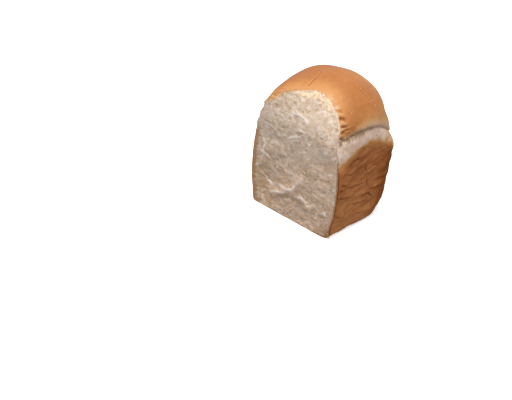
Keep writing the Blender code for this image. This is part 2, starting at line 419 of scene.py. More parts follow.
    def torn_y(self, x: Array, z: Array) -> Array:
        """Where the torn end lies; its relief is shallower towards the rim.

        Args:
            x: Sideways places.
            z: Heights.

        Returns:
            Y of the torn end at each place.
        """
        crown = self.height - self.crown_drop
        share = np.clip((z - self.lean_start_z) / (crown - self.lean_start_z), 0.0, 1.2)
        lean = (self.lean + self.lean_skew * x - self.lean_bend * x * x) * share ** 1.5
        reach = np.hypot(x / self.rim_width, np.clip(z - self.step_z, 0.0, None) / (crown - self.step_z))
        edge = smooth_step(*self.calm_reach, reach)
        calm = 1.0 - self.edge_calm * edge
        calm = calm * mix(1.0 - self.edge_calm, 1.0, smooth_step(0.0, self.edge_fade, z))
        ragged = self.ragged_relief(x, z) * mix(self.rag_share, 1.0, edge)
        return self.tear_y + lean + self.crumb_relief(x, z) * calm + ragged

    def crown_edge(self, x: Array) -> tuple[Array, Array]:
        """Y and z where the torn end meets the top of the dome."""
        y = np.full_like(x, self.tear_y + self.lean)
        for _ in range(self.edge_rounds):
            z = self.cap_height(x, y)
            y = (y + self.torn_y(x, z)) / 2.0
        return y, self.cap_height(x, y)

    def plan_power(self, z: Array) -> Array:
        """Squareness of the level outline behind the middle."""
        return mix(self.tin_power, self.dome_plan_power, smooth_step(*self.plan_change, z))

    @staticmethod
    def squircle(share: Array, power: Array) -> Array:
        """Pulls in one side of a square plan so that its outline is a superellipse."""
        return (1.0 - 0.5 * np.abs(share) ** power) ** (1.0 / power)

    def behind_point(self, u: Array, v: Array, z: Array) -> tuple[Array, Array]:
        """X and y of a point of the back half; u and v run across its level slice, v from 0 to 1."""
        power = self.plan_power(z)
        wander = self.unevenness(u * self.rim_width, z) * (1.0 - np.clip(z / self.rim_z[2], 0.0, 1.0))
        y = v * (self.heel_depth(z) + wander) * self.squircle(u, power)
        return u * self.section_width(y, z) * self.squircle(v, power), y

    def lopsided(self, places: Array) -> Array:
        """Tilts the torn end of the dome down towards -X and sets the dome off centre."""
        height = smooth_step(self.groove_z[0], self.height, places[..., 2])
        front = smooth_step(0.0, -self.crown_y, -places[..., 1])
        tilted = places.copy()
        tilted[..., 2] += self.lopside * places[..., 0] * height * front
        tilted[..., 0] -= self.dome_shift.at(places[..., 2])
        drawn_in = self.shoulder_in.at(places[..., 2]) - self.shoulder_out.at(places[..., 2])
        tilted[..., 0] += self.shoulder_x.at(places[..., 0]) * front * drawn_in
        return tilted


@dataclass(frozen=True)
class Lattice:
    """Rows and columns of the fine meshes; the torn face has twice as many as the crust."""

    across: int = 140
    deep: int = 136
    tin_rows: int = 144
    dome_rows: int = 32
    ease: float = 0.45
    relax_rounds: int = 600

    def row_shares(self) -> tuple[Array, Array]:
        """Shares of the way up the tin part and up the dome's side, at the torn face's rows."""
        tin = np.linspace(0.0, 1.0, 2 * self.tin_rows + 1)
        tin = tin - self.ease * np.sin(math.pi * tin) / math.pi
        dome = np.linspace(0.0, 1.0, 2 * self.dome_rows + 1)[1:]
        return np.concatenate([tin, np.ones_like(dome)]), np.concatenate([np.zeros_like(tin), dome])

    def ring_sides(self, ring: Array) -> tuple[Array, Array, Array]:
        """Left side, heel and right side of a ring of the crust, each side from the tear back."""
        corner = self.deep + self.across
        return ring[:self.deep + 1], ring[self.deep:corner + 1], ring[corner:][::-1]

    def perimeter(self) -> tuple[Array, Array]:
        """U and v of the crust's columns, from the left torn edge round the heel to the right one."""
        side = np.linspace(-1.0, 1.0, self.deep + 1)
        heel = np.linspace(-1.0, 1.0, self.across + 1)
        u = np.concatenate([-np.ones(self.deep + 1), heel[1:], np.ones(self.deep)])
        v = np.concatenate([side, np.ones(self.across), side[::-1][1:]])
        return u, v


@dataclass
class TornEdge:
    """Line where the torn crumb meets the crust, on one side of the loaf, at the torn face's rows."""

    x: Array
    y: Array
    z: Array


class LoafGrid:
    """Point grids of the whole loaf, worked out from its form."""

    def __init__(self, form: LoafForm, lattice: Lattice) -> None:
        """Settles the torn edges, then the crown between them."""
        self.form = form
        self.lattice = lattice
        self.tin_share, self.dome_share = lattice.row_shares()
        self.left = self.side_edge(-1.0)
        self.right = self.side_edge(1.0)

    def row_height(self, y: Array, tin: Array, dome: Array) -> Array:
        """Height of a row whose groove is crossed at y; the tin rows end at the groove."""
        form = self.form
        groove = form.along(y, form.groove_z)
        return groove * tin + (form.shoulder(np.minimum(y, 0.0)) - groove) * dome

    @staticmethod
    def straighten(values: Array) -> None:
        """Puts every second point of a line midway between its neighbours."""
        values[1:-1:2] = (values[:-2:2] + values[2::2]) / 2.0

    def side_edge(self, side: float) -> TornEdge:
        """Torn edge on the left, with side -1, or on the right, with side 1."""
        form = self.form
        y = np.full_like(self.tin_share, form.tear_y)
        for _ in range(form.edge_rounds):
            z = self.row_height(y, self.tin_share, self.dome_share)
            x = side * form.section_width(y, z)
            y = (y + form.torn_y(x, z)) / 2.0
        z = self.row_height(y, self.tin_share, self.dome_share)
        x = side * form.section_width(y, z)
        for values in (x, y, z):
            self.straighten(values)
        return TornEdge(x, y, z)

    def torn_face(self) -> Array:
        """Points of the torn face, rows from the base up and columns from left to right."""
        form = self.form
        u = np.linspace(-1.0, 1.0, 2 * self.lattice.across + 1)
        left = u[None, :] < 0.0
        edge_x = np.where(left, -self.left.x[:, None], self.right.x[:, None])
        edge_z = np.where(left, self.left.z[:, None], self.right.z[:, None])
        x = u * edge_x
        crown_y, crown_z = form.crown_edge(x[-1])
        z = edge_z + (crown_z - edge_z[-1]) * (edge_z / edge_z[-1]) ** 1.5
        self.relax(x, z, self.lattice.relax_rounds)
        face = stack(x, form.torn_y(x, z), z)
        face[-1, :, 1] = crown_y
        for column, edge in ((0, self.left), (-1, self.right)):
            face[:, column] = stack(edge.x, edge.y, edge.z)
        self.straighten(face[0])
        self.straighten(face[-1])
        return face

    @staticmethod
    def relax(x: Array, z: Array, rounds: int) -> None:
        """Evens out the spacing of a grid's inner points."""
        for values in (x, z):
            for _ in range(rounds):
                around = values[:-2, 1:-1] + values[2:, 1:-1] + values[1:-1, :-2] + values[1:-1, 2:]
                values[1:-1, 1:-1] = (values[1:-1, 1:-1] + around / 4.0) / 2.0

    def groove_reach(self, u: Array, v: Array) -> Array:
        """Y at which each column of the back half crosses the groove."""
        form = self.form
        back = np.clip(v, 0.0, 1.0)
        y = back * form.back_y
        for _ in range(form.edge_rounds):
            y = (y + form.behind_point(u, back, form.along(y, form.groove_z))[1]) / 2.0
        return y

    def walls(self) -> Array:
        """Points of the sides and the heel, rows from the base up to the shoulder."""
        u, v = self.lattice.perimeter()
        tin = self.tin_share[::2, None]
        dome = self.dome_share[::2, None]
        front_y = np.where(u[None, :] < 0.0, self.left.y[::2, None], self.right.y[::2, None])
        y = np.minimum(v, 0.0) * -front_y
        z = self.row_height(np.where(v >= 0.0, self.groove_reach(u, v), y), tin, dome)
        across = u * self.form.section_width(y, z)
        behind_x, behind_y = self.form.behind_point(u + 0.0 * z, np.clip(v, 0.0, 1.0) + 0.0 * z, z)
        back = v[None, :] >= 0.0
        return stack(np.where(back, behind_x, across), np.where(back, behind_y, y), z)

    def level_sheet(self, ring: Array, front: Array) -> Array:
        """Points inside a ring of the walls.

        Args:
            ring: Points of the ring, from the left torn edge round the heel to the right one.
            front: Points of the torn edge between them.

        Returns:
            The points, with rows from the torn edge back to the heel.
        """
        left, heel, right = self.lattice.ring_sides(ring)
        share = np.linspace(0.0, 1.0, self.lattice.across + 1)[:, None]
        depth = np.linspace(0.0, 1.0, self.lattice.deep + 1)[:, None, None]
        sides = mix(left[:, None], right[:, None], share)
        corners = mix(mix(front[0], front[-1], share), mix(heel[0], heel[-1], share), depth)
        sheet = sides + mix(front, heel, depth) - corners
        self.relax(sheet[..., 0], sheet[..., 1], self.lattice.relax_rounds)
        return sheet

    def cap(self, walls: Array, face: Array) -> Array:
        """Points of the top of the dome."""
        sheet = self.level_sheet(walls[-1], face[-1, ::2])
        inner = sheet[1:-1, 1:-1]
        inner[..., 2] = self.form.cap_height(inner[..., 0], inner[..., 1])
        return sheet

    def base(self, walls: Array, face: Array) -> Array:
        """Points of the flat base."""
        sheet = self.level_sheet(walls[0], face[0, ::2])
        sheet[..., 2] = 0.0
        return sheet


def grid_quads(index: Array, flip: bool = False) -> Array:
    """Quads between the points of a grid.

    Args:
        index: Point numbers, by row and column.
        flip: Turns the faces over.

    Returns:
        Four point numbers for each quad.
    """
    corners = [index[:-1, :-1], index[:-1, 1:], index[1:, 1:], index[1:, :-1]]
    if flip:
        corners.reverse()
    return np.stack([corner.ravel() for corner in corners], axis=1)


def make_mesh(name: str, points: Array, quads: Array) -> bpy.types.Mesh:
    """Smooth-shaded mesh from points and faces."""
    mesh = bpy.data.meshes.new(name)
    mesh.from_pydata(points.tolist(), [], quads.tolist())
    mesh.shade_smooth()
    mesh.update()
    return mesh


def point_normals(points: Array, quads: Array) -> Array:
    """Unit normal at each point, averaged over the faces round it."""
    corners = points[quads]
    faces = np.cross(corners[:, 2] - corners[:, 0], corners[:, 3] - corners[:, 1])
    normals = np.zeros_like(points)
    for corner in range(quads.shape[1]):
        np.add.at(normals, quads[:, corner], faces)
    return normals / np.maximum(np.linalg.norm(normals, axis=1, keepdims=True), 1e-12)


def set_value(mesh: bpy.types.Mesh, name: str, values: Array) -> None:
    """Stores one number for each point of a mesh, for its material to read."""
    attribute = mesh.attributes.new(name, "FLOAT", "POINT")
    attribute.data.foreach_set("value", np.clip(values, 0.0, 1.0).astype(np.float32))


def add_piece(name: str, mesh: bpy.types.Mesh, material: bpy.types.Material) -> bpy.types.Object:
    """Adds a piece that stands for the solid loaf.

    Args:
        name: Name of the piece.
        mesh: Its mesh, in the frame's metres.
        material: Its finish.

    Returns:
        The new object.
    """
    piece = bpy.data.objects.new(name, mesh)
    mesh.materials.append(material)
    bpy.context.scene.collection.objects.link(piece)
    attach(piece, BODY)
    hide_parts(NODE)
    log.info("%s: %d faces", name, len(mesh.polygons))
    return piece


@dataclass(frozen=True)
class BoxFit:
    """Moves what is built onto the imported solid's place and keeps it inside the solid's box."""

    low: Vector
    high: Vector
    inset: float = 0.00002

    def shift_for(self, points: Array) -> Array:
        """Move that centres points on the box's middle and stands them on its lowest plane."""
        middle = (points.min(axis=0) + points.max(axis=0)) / 2.0
        shift = (np.array(self.low) + np.array(self.high)) / 2.0 - middle
        shift[2] = self.low.z - points[:, 2].min()
        return shift

    def keep_in(self, points: Array) -> Array:
        """Points moved back inside the box."""
        return np.clip(points, np.array(self.low) + self.inset, np.array(self.high) - self.inset)


class NodeGraph:
    """Adds and links the nodes of one material or node group."""

    def __init__(self, tree: bpy.types.NodeTree) -> None:
        """Keeps the tree that the nodes go into."""
        self.tree = tree

    def feed(self, socket: bpy.types.NodeSocket, source: object) -> None:
        """Links a socket to another one, or sets its value."""
        if isinstance(source, bpy.types.NodeSocket):
            self.tree.links.new(source, socket)
        else:
            socket.default_value = source

    def node(self, kind: str, inputs: dict[str | int, object] | None = None,
             **settings: object) -> bpy.types.Node:
        """Adds a node.

        Args:
            kind: Blender's name of the node.
            inputs: What each input is linked to or set to.
            **settings: Values of the node's own properties.

        Returns:
            The new node.
        """
        made = self.tree.nodes.new(kind)
        for name, value in settings.items():
            setattr(made, name, value)
        for key, source in (inputs or {}).items():
            self.feed(made.inputs[key], source)
        return made

    def calculate(self, operation: str, first: object, second: object = 0.0) -> bpy.types.NodeSocket:
        """Result of a sum on two values."""
        return self.node("ShaderNodeMath", {0: first, 1: second}, operation=operation).outputs[0]

    def blend(self, first: object, second: object, share: object, way: str = "MIX") -> bpy.types.NodeSocket:
        """Colour between two colours."""
        made = self.node("ShaderNodeMix", {0: share, 6: first, 7: second}, data_type="RGBA", blend_type=way)
        return made.outputs[2]

    def value(self, name: str) -> bpy.types.NodeSocket:
        """Number that the mesh stores at its points."""
        return self.node("ShaderNodeAttribute", attribute_name=name).outputs["Fac"]

    def ranged(self, value: object, low: float, high: float, start: float = 0.0,
               end: float = 1.0) -> bpy.types.NodeSocket:
        """Value moved from the range low to high onto the range start to end, and held there."""
        made = self.node("ShaderNodeMapRange", {0: value, 1: low, 2: high, 3: start, 4: end}, clamp=True)
        return made.outputs[0]

    def ramp(self, share: object, stops: Sequence[tuple[float, Colour]]) -> bpy.types.NodeSocket:
        """Colour from a row of named stops."""
        made = self.node("ShaderNodeValToRGB", {0: share})
        elements = made.color_ramp.elements
        while len(elements) < len(stops):
            elements.new(1.0)
        for element, (place, colour) in zip(elements, stops):
            element.position = place
            element.color = (*colour, 1.0)
        return made.outputs[0]


def new_material(name: str) -> tuple[bpy.types.Material, NodeGraph, bpy.types.Node]:
    """Material with its graph and its Principled shader."""
    material = bpy.data.materials.new(name)
    material.use_nodes = True
    return material, NodeGraph(material.node_tree), material.node_tree.nodes["Principled BSDF"]


class GrainGroup:
    """Node group with fine mottling and the height of a soft grain, shared by all bread finishes."""

    NAME = "bread_grain"

    def tree(self) -> bpy.types.NodeTree:
        """The group, made at its first use."""
        return bpy.data.node_groups.get(self.NAME) or self.build()

    def build(self) -> bpy.types.NodeTree:
        """Makes the group's sockets and nodes."""
        tree = bpy.data.node_groups.new(self.NAME, "ShaderNodeTree")
        for name, start in (("Size", 0.004), ("Stretch", 1.0), ("Roughening", 0.5)):
            socket = tree.interface.new_socket(name, in_out="INPUT", socket_type="NodeSocketFloat")
            socket.default_value = start
        for name in ("Mottle", "Height"):
            tree.interface.new_socket(name, in_out="OUTPUT", socket_type="NodeSocketFloat")
        graph = NodeGraph(tree)
        given = graph.node("NodeGroupInput")
        result = graph.node("NodeGroupOutput")
        place = graph.node("ShaderNodeTexCoord").outputs["Object"]
        squeeze = graph.calculate("DIVIDE", 1.0, given.outputs["Stretch"])
        axes = graph.node("ShaderNodeCombineXYZ", {0: 1.0, 1: 1.0, 2: squeeze}).outputs[0]
        stretched = graph.node("ShaderNodeVectorMath", {0: place, 1: axes}, operation="MULTIPLY").outputs[0]
        scale = graph.calculate("DIVIDE", 1.0, given.outputs["Size"])
        coarse = graph.node("ShaderNodeTexNoise", {"Vector": stretched, "Scale": scale, "Detail": 5.0,
                                                   "Roughness": given.outputs["Roughening"]})
        finer = graph.calculate("MULTIPLY", scale, 3.7)
        fine = graph.node("ShaderNodeTexNoise", {"Vector": stretched, "Scale": finer, "Detail": 3.0})
        total = graph.calculate("ADD", graph.calculate("MULTIPLY", fine.outputs[0], 0.45), coarse.outputs[0])
        graph.feed(result.inputs["Mottle"], coarse.outputs[0])
        graph.feed(result.inputs["Height"], total)
        return tree

    def place_in(self, graph: NodeGraph, size: float, stretch: float = 1.0,
                 roughening: float = 0.5) -> bpy.types.Node:
        """Adds the group to a material.

        Args:
            graph: The material's graph.
            size: Size of one mottle.
            stretch: How many times taller than wide it is.
            roughening: Share of finer detail.

        Returns:
            The group's node.
        """
        made = graph.node("ShaderNodeGroup", node_tree=self.tree())
        for name, value in (("Size", size), ("Stretch", stretch), ("Roughening", roughening)):
            made.inputs[name].default_value = value
        return made


@dataclass(frozen=True)
class CrustFinish:
    """Baked crust, from the pale band to the darkest edges."""

    name: str
    roughness: Place
    gloss: float
    coat: float = 0.0
    pale: Colour = (0.80, 0.62, 0.51)
    straw: Colour = (0.70, 0.39, 0.18)
    golden: Colour = (0.60, 0.265, 0.085)
    toasted: Colour = (0.52, 0.205, 0.075)
    brown: Colour = (0.375, 0.118, 0.030)
    dark: Colour = (0.23, 0.062, 0.013)
    # painted shade colours, blended in by the shade value: red-brown over baked crust, grey-brown over pale
    # crust
    crease: Colour = (0.20, 0.046, 0.009)
    shade_on_pale: Colour = (0.15, 0.090, 0.050)
    speck: Colour = (0.86, 0.60, 0.36)
    mottle_size: float = 0.0045
    mottle: float = 0.16
    streak_size: float = 0.0016
    streak_stretch: float = 7.0
    streak: float = 0.9
    speck_spacing: float = 1.0 / 210.0
    speck_edge: Place = (0.06, 0.16)
    speck_choice: Place = (0.58, 0.66)
    speck_share: float = 0.8
    grain_depth: float = 0.00012

    def material(self) -> bpy.types.Material:
        """The finish as a material that reads the mesh's bake, shade, streak and speck values."""
        material, graph, shader = new_material(self.name)
        grain = GrainGroup().place_in(graph, self.mottle_size)
        streaks = GrainGroup().place_in(graph, self.streak_size, self.streak_stretch, 0.6)
        mottled = graph.calculate("SUBTRACT", grain.outputs["Mottle"], 0.5)
        bake = graph.calculate("ADD", graph.value("bake"), graph.calculate("MULTIPLY", mottled, self.mottle))
        streaked = graph.calculate("SUBTRACT", streaks.outputs["Mottle"], 0.5)
        streaked = graph.calculate("MULTIPLY", streaked, graph.value("streak"))
        bake = graph.calculate("ADD", bake, graph.calculate("MULTIPLY", streaked, self.streak))
        stops = ((0.0, self.pale), (0.25, self.straw), (0.45, self.golden),
                 (0.65, self.toasted), (0.85, self.brown), (1.0, self.dark))
        colour = graph.blend(graph.ramp(bake, stops), (*self.speck, 1.0), self.specks(graph))
        # painted shade in folds, creases and the groove, grey-brown on pale crust and red-brown on baked
        # crust
        tone = graph.blend((*self.shade_on_pale, 1.0), (*self.crease, 1.0), graph.ranged(bake, 0.15, 0.45))
        colour = graph.blend(colour, tone, graph.value("shade"))
        graph.feed(shader.inputs["Base Color"], colour)
        baked, pale = self.roughness
        graph.feed(shader.inputs["Roughness"], graph.ranged(bake, 0.1, 0.6, pale, baked))
        height = graph.calculate("ADD", grain.outputs["Height"], graph.calculate("MULTIPLY", streaked, 2.0))
        bump = graph.node("ShaderNodeBump", {"Strength": 0.7, "Distance": self.grain_depth, "Height": height})
        graph.feed(shader.inputs["Normal"], bump.outputs[0])
        shader.inputs["Coat Weight"].default_value = self.coat
        shader.inputs["Coat Roughness"].default_value = 0.35
        shader.inputs["Specular IOR Level"].default_value = self.gloss
        return material

    def specks(self, graph: NodeGraph) -> bpy.types.NodeSocket:
        """Share of the pale specks, in some cells of an even scatter."""
        place = graph.node("ShaderNodeTexCoord").outputs["Object"]
        cells = graph.node("ShaderNodeTexVoronoi", {"Vector": place, "Scale": 1.0 / self.speck_spacing})
        dots = graph.ranged(cells.outputs["Distance"], *self.speck_edge, 1.0, 0.0)
        chosen = graph.node("ShaderNodeSeparateColor", {0: cells.outputs["Color"]}).outputs[0]
        dots = graph.calculate("MULTIPLY", dots, graph.ranged(chosen, *self.speck_choice))
        dots = graph.calculate("MULTIPLY", dots, graph.value("speck"))
        return graph.calculate("MULTIPLY", dots, self.speck_share)


@dataclass(frozen=True)
class CrumbFinish:
    """Soft white crumb, greyer above and warmer towards the base, with a tan tone that is partly painted
    shade in its pits.
    """

    name: str
    light: Colour = (0.785, 0.62, 0.50)
    warm: Colour = (0.84, 0.62, 0.48)
    # tan tone, partly the crumb's own and partly painted shade in its pits and low places
    pit: Colour = (0.50, 0.335, 0.165)
    strand: Colour = (0.91, 0.81, 0.73)
    rim: Colour = (0.42, 0.185, 0.062)
    film: Colour = (0.89, 0.68, 0.47)
    skin: Colour = (0.74, 0.41, 0.17)
    roughness: float = 0.9
    specular: float = 0.2
    grain: Triple = (0.0026, 1.0, 0.6)
    grain_depth: float = 0.00015
    grain_pits: float = 0.24
    wisps: Triple = (0.0011, 0.6, 0.7)
    wisp_share: float = 0.30
    softness: float = 0.6
    soft_depth: float = 0.0025
    soft_reach: Triple = (1.0, 0.85, 0.7)

    def material(self) -> bpy.types.Material:
        """The finish as a material that reads the mesh's warmth, pit, strand, rim and film values; the pit
        value is partly painted shade in the crumb's low places and partly its own tan.
        """
        material, graph, shader = new_material(self.name)
        grain = GrainGroup().place_in(graph, *self.grain)
        mottle = graph.ranged(grain.outputs["Mottle"], 0.35, 0.7)
        mottled = graph.calculate("MULTIPLY", mottle, self.grain_pits)
        # tan tone, partly painted shade in the crumb's low places
        pits = graph.calculate("ADD", graph.value("pit"), mottled)
        colour = graph.blend((*self.light, 1.0), (*self.warm, 1.0), graph.value("warmth"), "MULTIPLY")
        colour = graph.blend(colour, (*self.pit, 1.0), pits)
        wisps = GrainGroup().place_in(graph, *self.wisps)
        wisped = graph.ranged(wisps.outputs["Mottle"], 0.50, 0.72, 0.0, self.wisp_share)
        wisped = graph.calculate("ADD", wisped, graph.value("strand"))
        colour = graph.blend(colour, (*self.strand, 1.0), wisped)
        colour = graph.blend(colour, (*self.film, 1.0), graph.value("film"))
        colour = graph.blend(colour, (*self.skin, 1.0), graph.value("skin"))
        colour = graph.blend(colour, (*self.rim, 1.0), graph.value("rim"))
        graph.feed(shader.inputs["Base Color"], colour)
        bump = graph.node("ShaderNodeBump", {"Strength": 0.8, "Distance": self.grain_depth,
                                             "Height": grain.outputs["Height"]})
        graph.feed(shader.inputs["Normal"], bump.outputs[0])
        shader.inputs["Roughness"].default_value = self.roughness
        shader.inputs["Specular IOR Level"].default_value = self.specular
        shader.subsurface_method = "BURLEY"
        shader.inputs["Subsurface Weight"].default_value = self.softness
        shader.inputs["Subsurface Radius"].default_value = self.soft_reach
        shader.inputs["Subsurface Scale"].default_value = self.soft_depth
        return material


@dataclass
class TornCrumb:
    """The torn front end: cottony crumb with threads, pits and a golden rim of crust."""

    form: LoafForm
    swirl: tuple[Swells, Swells] = (Swells(0.004, 0.012, 4.0), Swells(0.004, 0.012, 9.0))
    threads: tuple[Lines, Lines] = (Lines((0.0072, 1.0, 0.0034), 2.0), Lines((0.0030, 1.0, 0.0042), 6.0, 0.7))
    thread_depth: float = 0.000065
    fluff: Swells = Swells(1.0, 0.0032, 1.0, 3)
    fluff_depth: float = 0.00009
    fine: Swells = Swells(0.00003, 0.0011, 5.0)
    patches: Patches = Patches(0.016, 15.0, (-0.35, 0.35))
    patch_calm: Place = (0.55, 1.25)
    upper_calm: Fade = Fade(0.095, 0.115, 1.0, 0.75)
    craters: Patches = Patches((0.0052, 1.0, 0.0036), 12.0, (0.04, 0.42))
    veils: Patches = Patches((0.0075, 1.0, 0.0042), 19.0, (0.05, 0.55))
    dips: Patches = Patches((0.0100, 1.0, 0.0070), 33.0, (-0.05, 0.40))
    upper_dips: Fade = Fade(0.095, 0.115, 1.0, 0.4)
    strand_rise: float = 0.35
    pit_depth: float = 0.0005
    crater_depth: float = 0.0001
    veil_height: float = 0.0001
    dip_depth: float = 0.0002
    # painted shade in the crumb's low places: in the fluff's lows, and in the pits, craters and dips
    fluff_low_shade: Fade = Fade(0.55, 0.15, 0.0, 0.15)
    recess_shade_tones: Triple = (0.62, 0.46, 0.26)
    strand_tones: Triple = (0.80, 0.26, 0.36)
    tan_lump: Spot = Spot(0.0512, 0.1125, 0.0036, 1.0, 0.7)
    tan_flecks: Patches = Patches(0.0022, 57.0, (-0.5, 0.2), 0.60)
    # painted shade: a darker tan belt near the top of the crumb, which leans back into the light
    top_shade_belt: Belt = Belt(0.137, 0.012, 0.13)
    # painted shade at the lower left corner, partly the browner crumb of the hollow there
    corner_tan_and_shade: Spot = Spot(-0.056, 0.026, 0.020, 0.42, 0.625)
    warm_fade: Fade = Fade(0.125, 0.015, 0.0, 0.75)
    warm_slope: float = 0.25
    # painted shade at the lower left corner, partly the browner crumb of the hollow there
    corner_warmth_and_shade: Spot = Spot(-0.052, 0.030, 0.030, 0.5, 0.882)
    warm_swells: Swells = Swells(0.16, 0.020, 3.0)
    below_band: Fade = Fade(0.104, 0.094)
    rim_right: Fade = Fade(0.030, 0.045, 0.0, 0.0013)
    rim_line: Fade = Fade(0.0014, 0.0004)
    rim_swells: Swells = Swells(0.0005, 0.0035, 8.0)
    strip: Fade = Fade(0.0075, 0.0035)
    strip_swells: Swells = Swells(0.0028, (0.006, 1.0, 0.003), 2.0)
    strip_x: Fade = Fade(-0.040, -0.046)
    strip_z: Fade = Fade(0.098, 0.086, 0.0, 0.75)
    rim_corner: Spot = Spot(0.0545, 0.0, 0.0085, 1.0, 0.8)
    crown_rim: Fade = Fade(0.0016, 0.0004)
    crown_rim_swells: Swells = Swells(0.0010, 0.0026, 49.0)
    crown_rim_x: Fade = Fade(-0.004, -0.014, 0.0, 0.60)
    crown_z: Fade = Fade(0.124, 0.131)
    lap: Fade = Fade(0.0058, 0.0036)
    lap_swells: Swells = Swells(0.0026, 0.0042, 13.0)
    lap_x: Fade = Fade(-0.026, -0.036)
    skin_border: Fade = Fade(0.0020, 0.0008)
    skin_swells: Swells = Swells(0.0008, 0.0020, 25.0)
    skin_x: Fade = Fade(0.0, -0.012, 0.0, 0.8)
    holes: Patches = Patches((0.0052, 1.0, 0.0034), 21.0, (0.10, 0.30))
    hole_zone: Fade = Fade(0.0080, 0.0055)
    skin_lips: float = 2.8
    rim_lips: float = 2.0
    rim_strength: Place = (0.10, 0.9)
    film: Fade = Fade(0.0070, 0.0042)
    film_swells: Swells = Swells(0.0034, 0.0055, 7.0)
    film_middle: Belt = Belt(0.012, 0.016, 0.0022)
    film_x: tuple[Fade, Fade] = (Fade(-0.020, -0.010), Fade(0.040, 0.030))
    fringe: Fade = Fade(0.0022, 0.0006)
    fringe_swells: Swells = Swells(0.0012, 0.0024, 17.0)
    fringe_z: Fade = Fade(0.112, 0.122, 0.0, 0.60)
    film_lift: float = 0.0006
    pit_count: int = 130
    loose_threads: int = 170
    loose_angle: Triple = (-0.35, 0.9, 0.45)
    loose_bend: float = 0.5
    loose_step: Place = (0.0012, 0.0034)
    loose_rise: Place = (0.0002, 0.0007)
    loose_width: Place = (0.0005, 0.0009)
    edge_fade: float = 0.0022
    seed: int = 11
    strands: tuple[Bend, ...] = (
        Bend(((-0.0146, 0.1271), (-0.0081, 0.1258), (-0.0015, 0.1269), (0.0059, 0.1253), (0.0098, 0.1224),
              (0.0080, 0.1190)), 0.0018, 0.0012),
        Bend(((-0.0332, 0.1194), (-0.0249, 0.1181), (-0.0199, 0.1156)), 0.0014, 0.0012),
        Bend(((-0.0493, 0.0821), (-0.0457, 0.0769), (-0.0468, 0.0690), (-0.0457, 0.0625)), 0.0014, 0.0011),
        Bend(((-0.0535, 0.0660), (-0.0462, 0.0645), (-0.0401, 0.0620), (-0.0344, 0.0592)), 0.0016, 0.0013),
        Bend(((-0.0002, 0.1110), (0.0080, 0.1118), (0.0117, 0.1111)), 0.0016, 0.0013),
        Bend(((-0.0131, 0.0958), (-0.0055, 0.0999), (0.0060, 0.1054)), 0.0016, 0.0014),
        Bend(((-0.0313, 0.0320), (-0.0186, 0.0354), (-0.0079, 0.0352), (0.0015, 0.0389), (0.0053, 0.0455),
              (0.0130, 0.0531)), 0.0012, 0.0014),
        Bend(((-0.0379, 0.0187), (-0.0243, 0.0246), (-0.0113, 0.0293), (-0.0016, 0.0357)), 0.0009, 0.0014),
        Bend(((0.0037, 0.0317), (0.0094, 0.0317), (0.0140, 0.0354), (0.0192, 0.0318), (0.0244, 0.0314)),
             0.0012, 0.0011),
        Bend(((-0.0444, 0.0362), (-0.0406, 0.0307), (-0.0300, 0.0295)), 0.0012, 0.0012),
        Bend(((0.0275, 0.0451), (0.0353, 0.0447)), 0.0012, 0.0011),
        Bend(((0.0472, 0.0318), (0.0506, 0.0257)), 0.0010, 0.0010),
        Bend(((0.0494, 0.0978), (0.0547, 0.0967)), 0.0006, 0.0016),
    )
    pits: tuple[Place, ...] = (
        (0.0313, 0.0637), (0.0270, 0.0851), (0.0166, 0.0672), (0.0064, 0.0578), (-0.0154, 0.0715),
        (0.0132, 0.1198), (-0.0345, 0.1262), (-0.0120, 0.1355), (-0.0334, 0.1143), (-0.0127, 0.1187),
        (0.0333, 0.1143), (0.0043, 0.0973), (-0.0196, 0.1057), (0.0391, 0.0136), (0.0450, 0.0120),
        (-0.0400, 0.0235))
    large_pit: float = 0.0017
    small_pits: Place = (0.0006, 0.0014)

    def __post_init__(self) -> None:
        """Scatters the loose threads and the small pits."""
        draw = random.Random(self.seed)
        self.all_strands = list(self.strands) + [self.loose_strand(draw) for _ in range(self.loose_threads)]
        self.all_pits = [Spot(x, z, self.large_pit) for x, z in self.pits]
        for _ in range(self.pit_count):
            x, z = self.random_place(draw)
            self.all_pits.append(Spot(x, z, draw.uniform(*self.small_pits)))

    def random_place(self, draw: random.Random) -> Place:
        """X and z of a random place on the torn face."""
        form = self.form
        while True:
            x = draw.uniform(-form.rim_width, form.rim_width)
            z = draw.uniform(0.0, form.height)
            top = (z - form.step_z) / (form.height - form.crown_drop - form.step_z)
            if math.hypot(x / form.rim_width, max(top, 0.0)) < 0.93 and z > 0.004:
                return x, z

    def loose_strand(self, draw: random.Random) -> Bend:
        """Short curved thread; threads lie steeper in the upper crumb and flatter below."""
        x, z = self.random_place(draw)
        slope, above, below = self.loose_angle
        angle = draw.gauss(slope, above if z > self.form.step_z else below)
        bend = draw.uniform(-self.loose_bend, self.loose_bend)
        step = draw.uniform(*self.loose_step)
        path = [(x, z)]
        for _ in range(4):
            x, z = x + math.cos(angle) * step, z + math.sin(angle) * step
            path.append((x, z))
            angle += bend
        return Bend(tuple(path), draw.uniform(*self.loose_rise), draw.uniform(*self.loose_width))

    def thread_map(self, x: Array, z: Array) -> tuple[Array, Array]:
        """Threads of the torn face, the traced ones and the loose ones together.

        Args:
            x: Sideways places.
            z: Heights.

        Returns:
            The threads' height at each place, and how strongly a thread shows there.
        """
        flat = np.stack([x, z], axis=-1)
        height = np.zeros(len(x))
        shown = np.zeros(len(x))
        for strand in self.all_strands:
            path = np.array(strand.path)
            margin = strand.width * 3.0
            near = np.all((flat > path.min(axis=0) - margin) & (flat < path.max(axis=0) + margin), axis=1)
            if not near.any():
                continue
            distance, reached = path_nearness(flat[near], path)
            rise = hump(distance, strand.width) * np.sin(math.pi * np.clip(reached, 0.04, 0.96)) ** 0.6
            height[near] = np.maximum(height[near], rise * strand.rise)
            shown[near] = np.maximum(shown[near], rise * min(strand.rise / 0.0012, 1.0))
        return height, shown

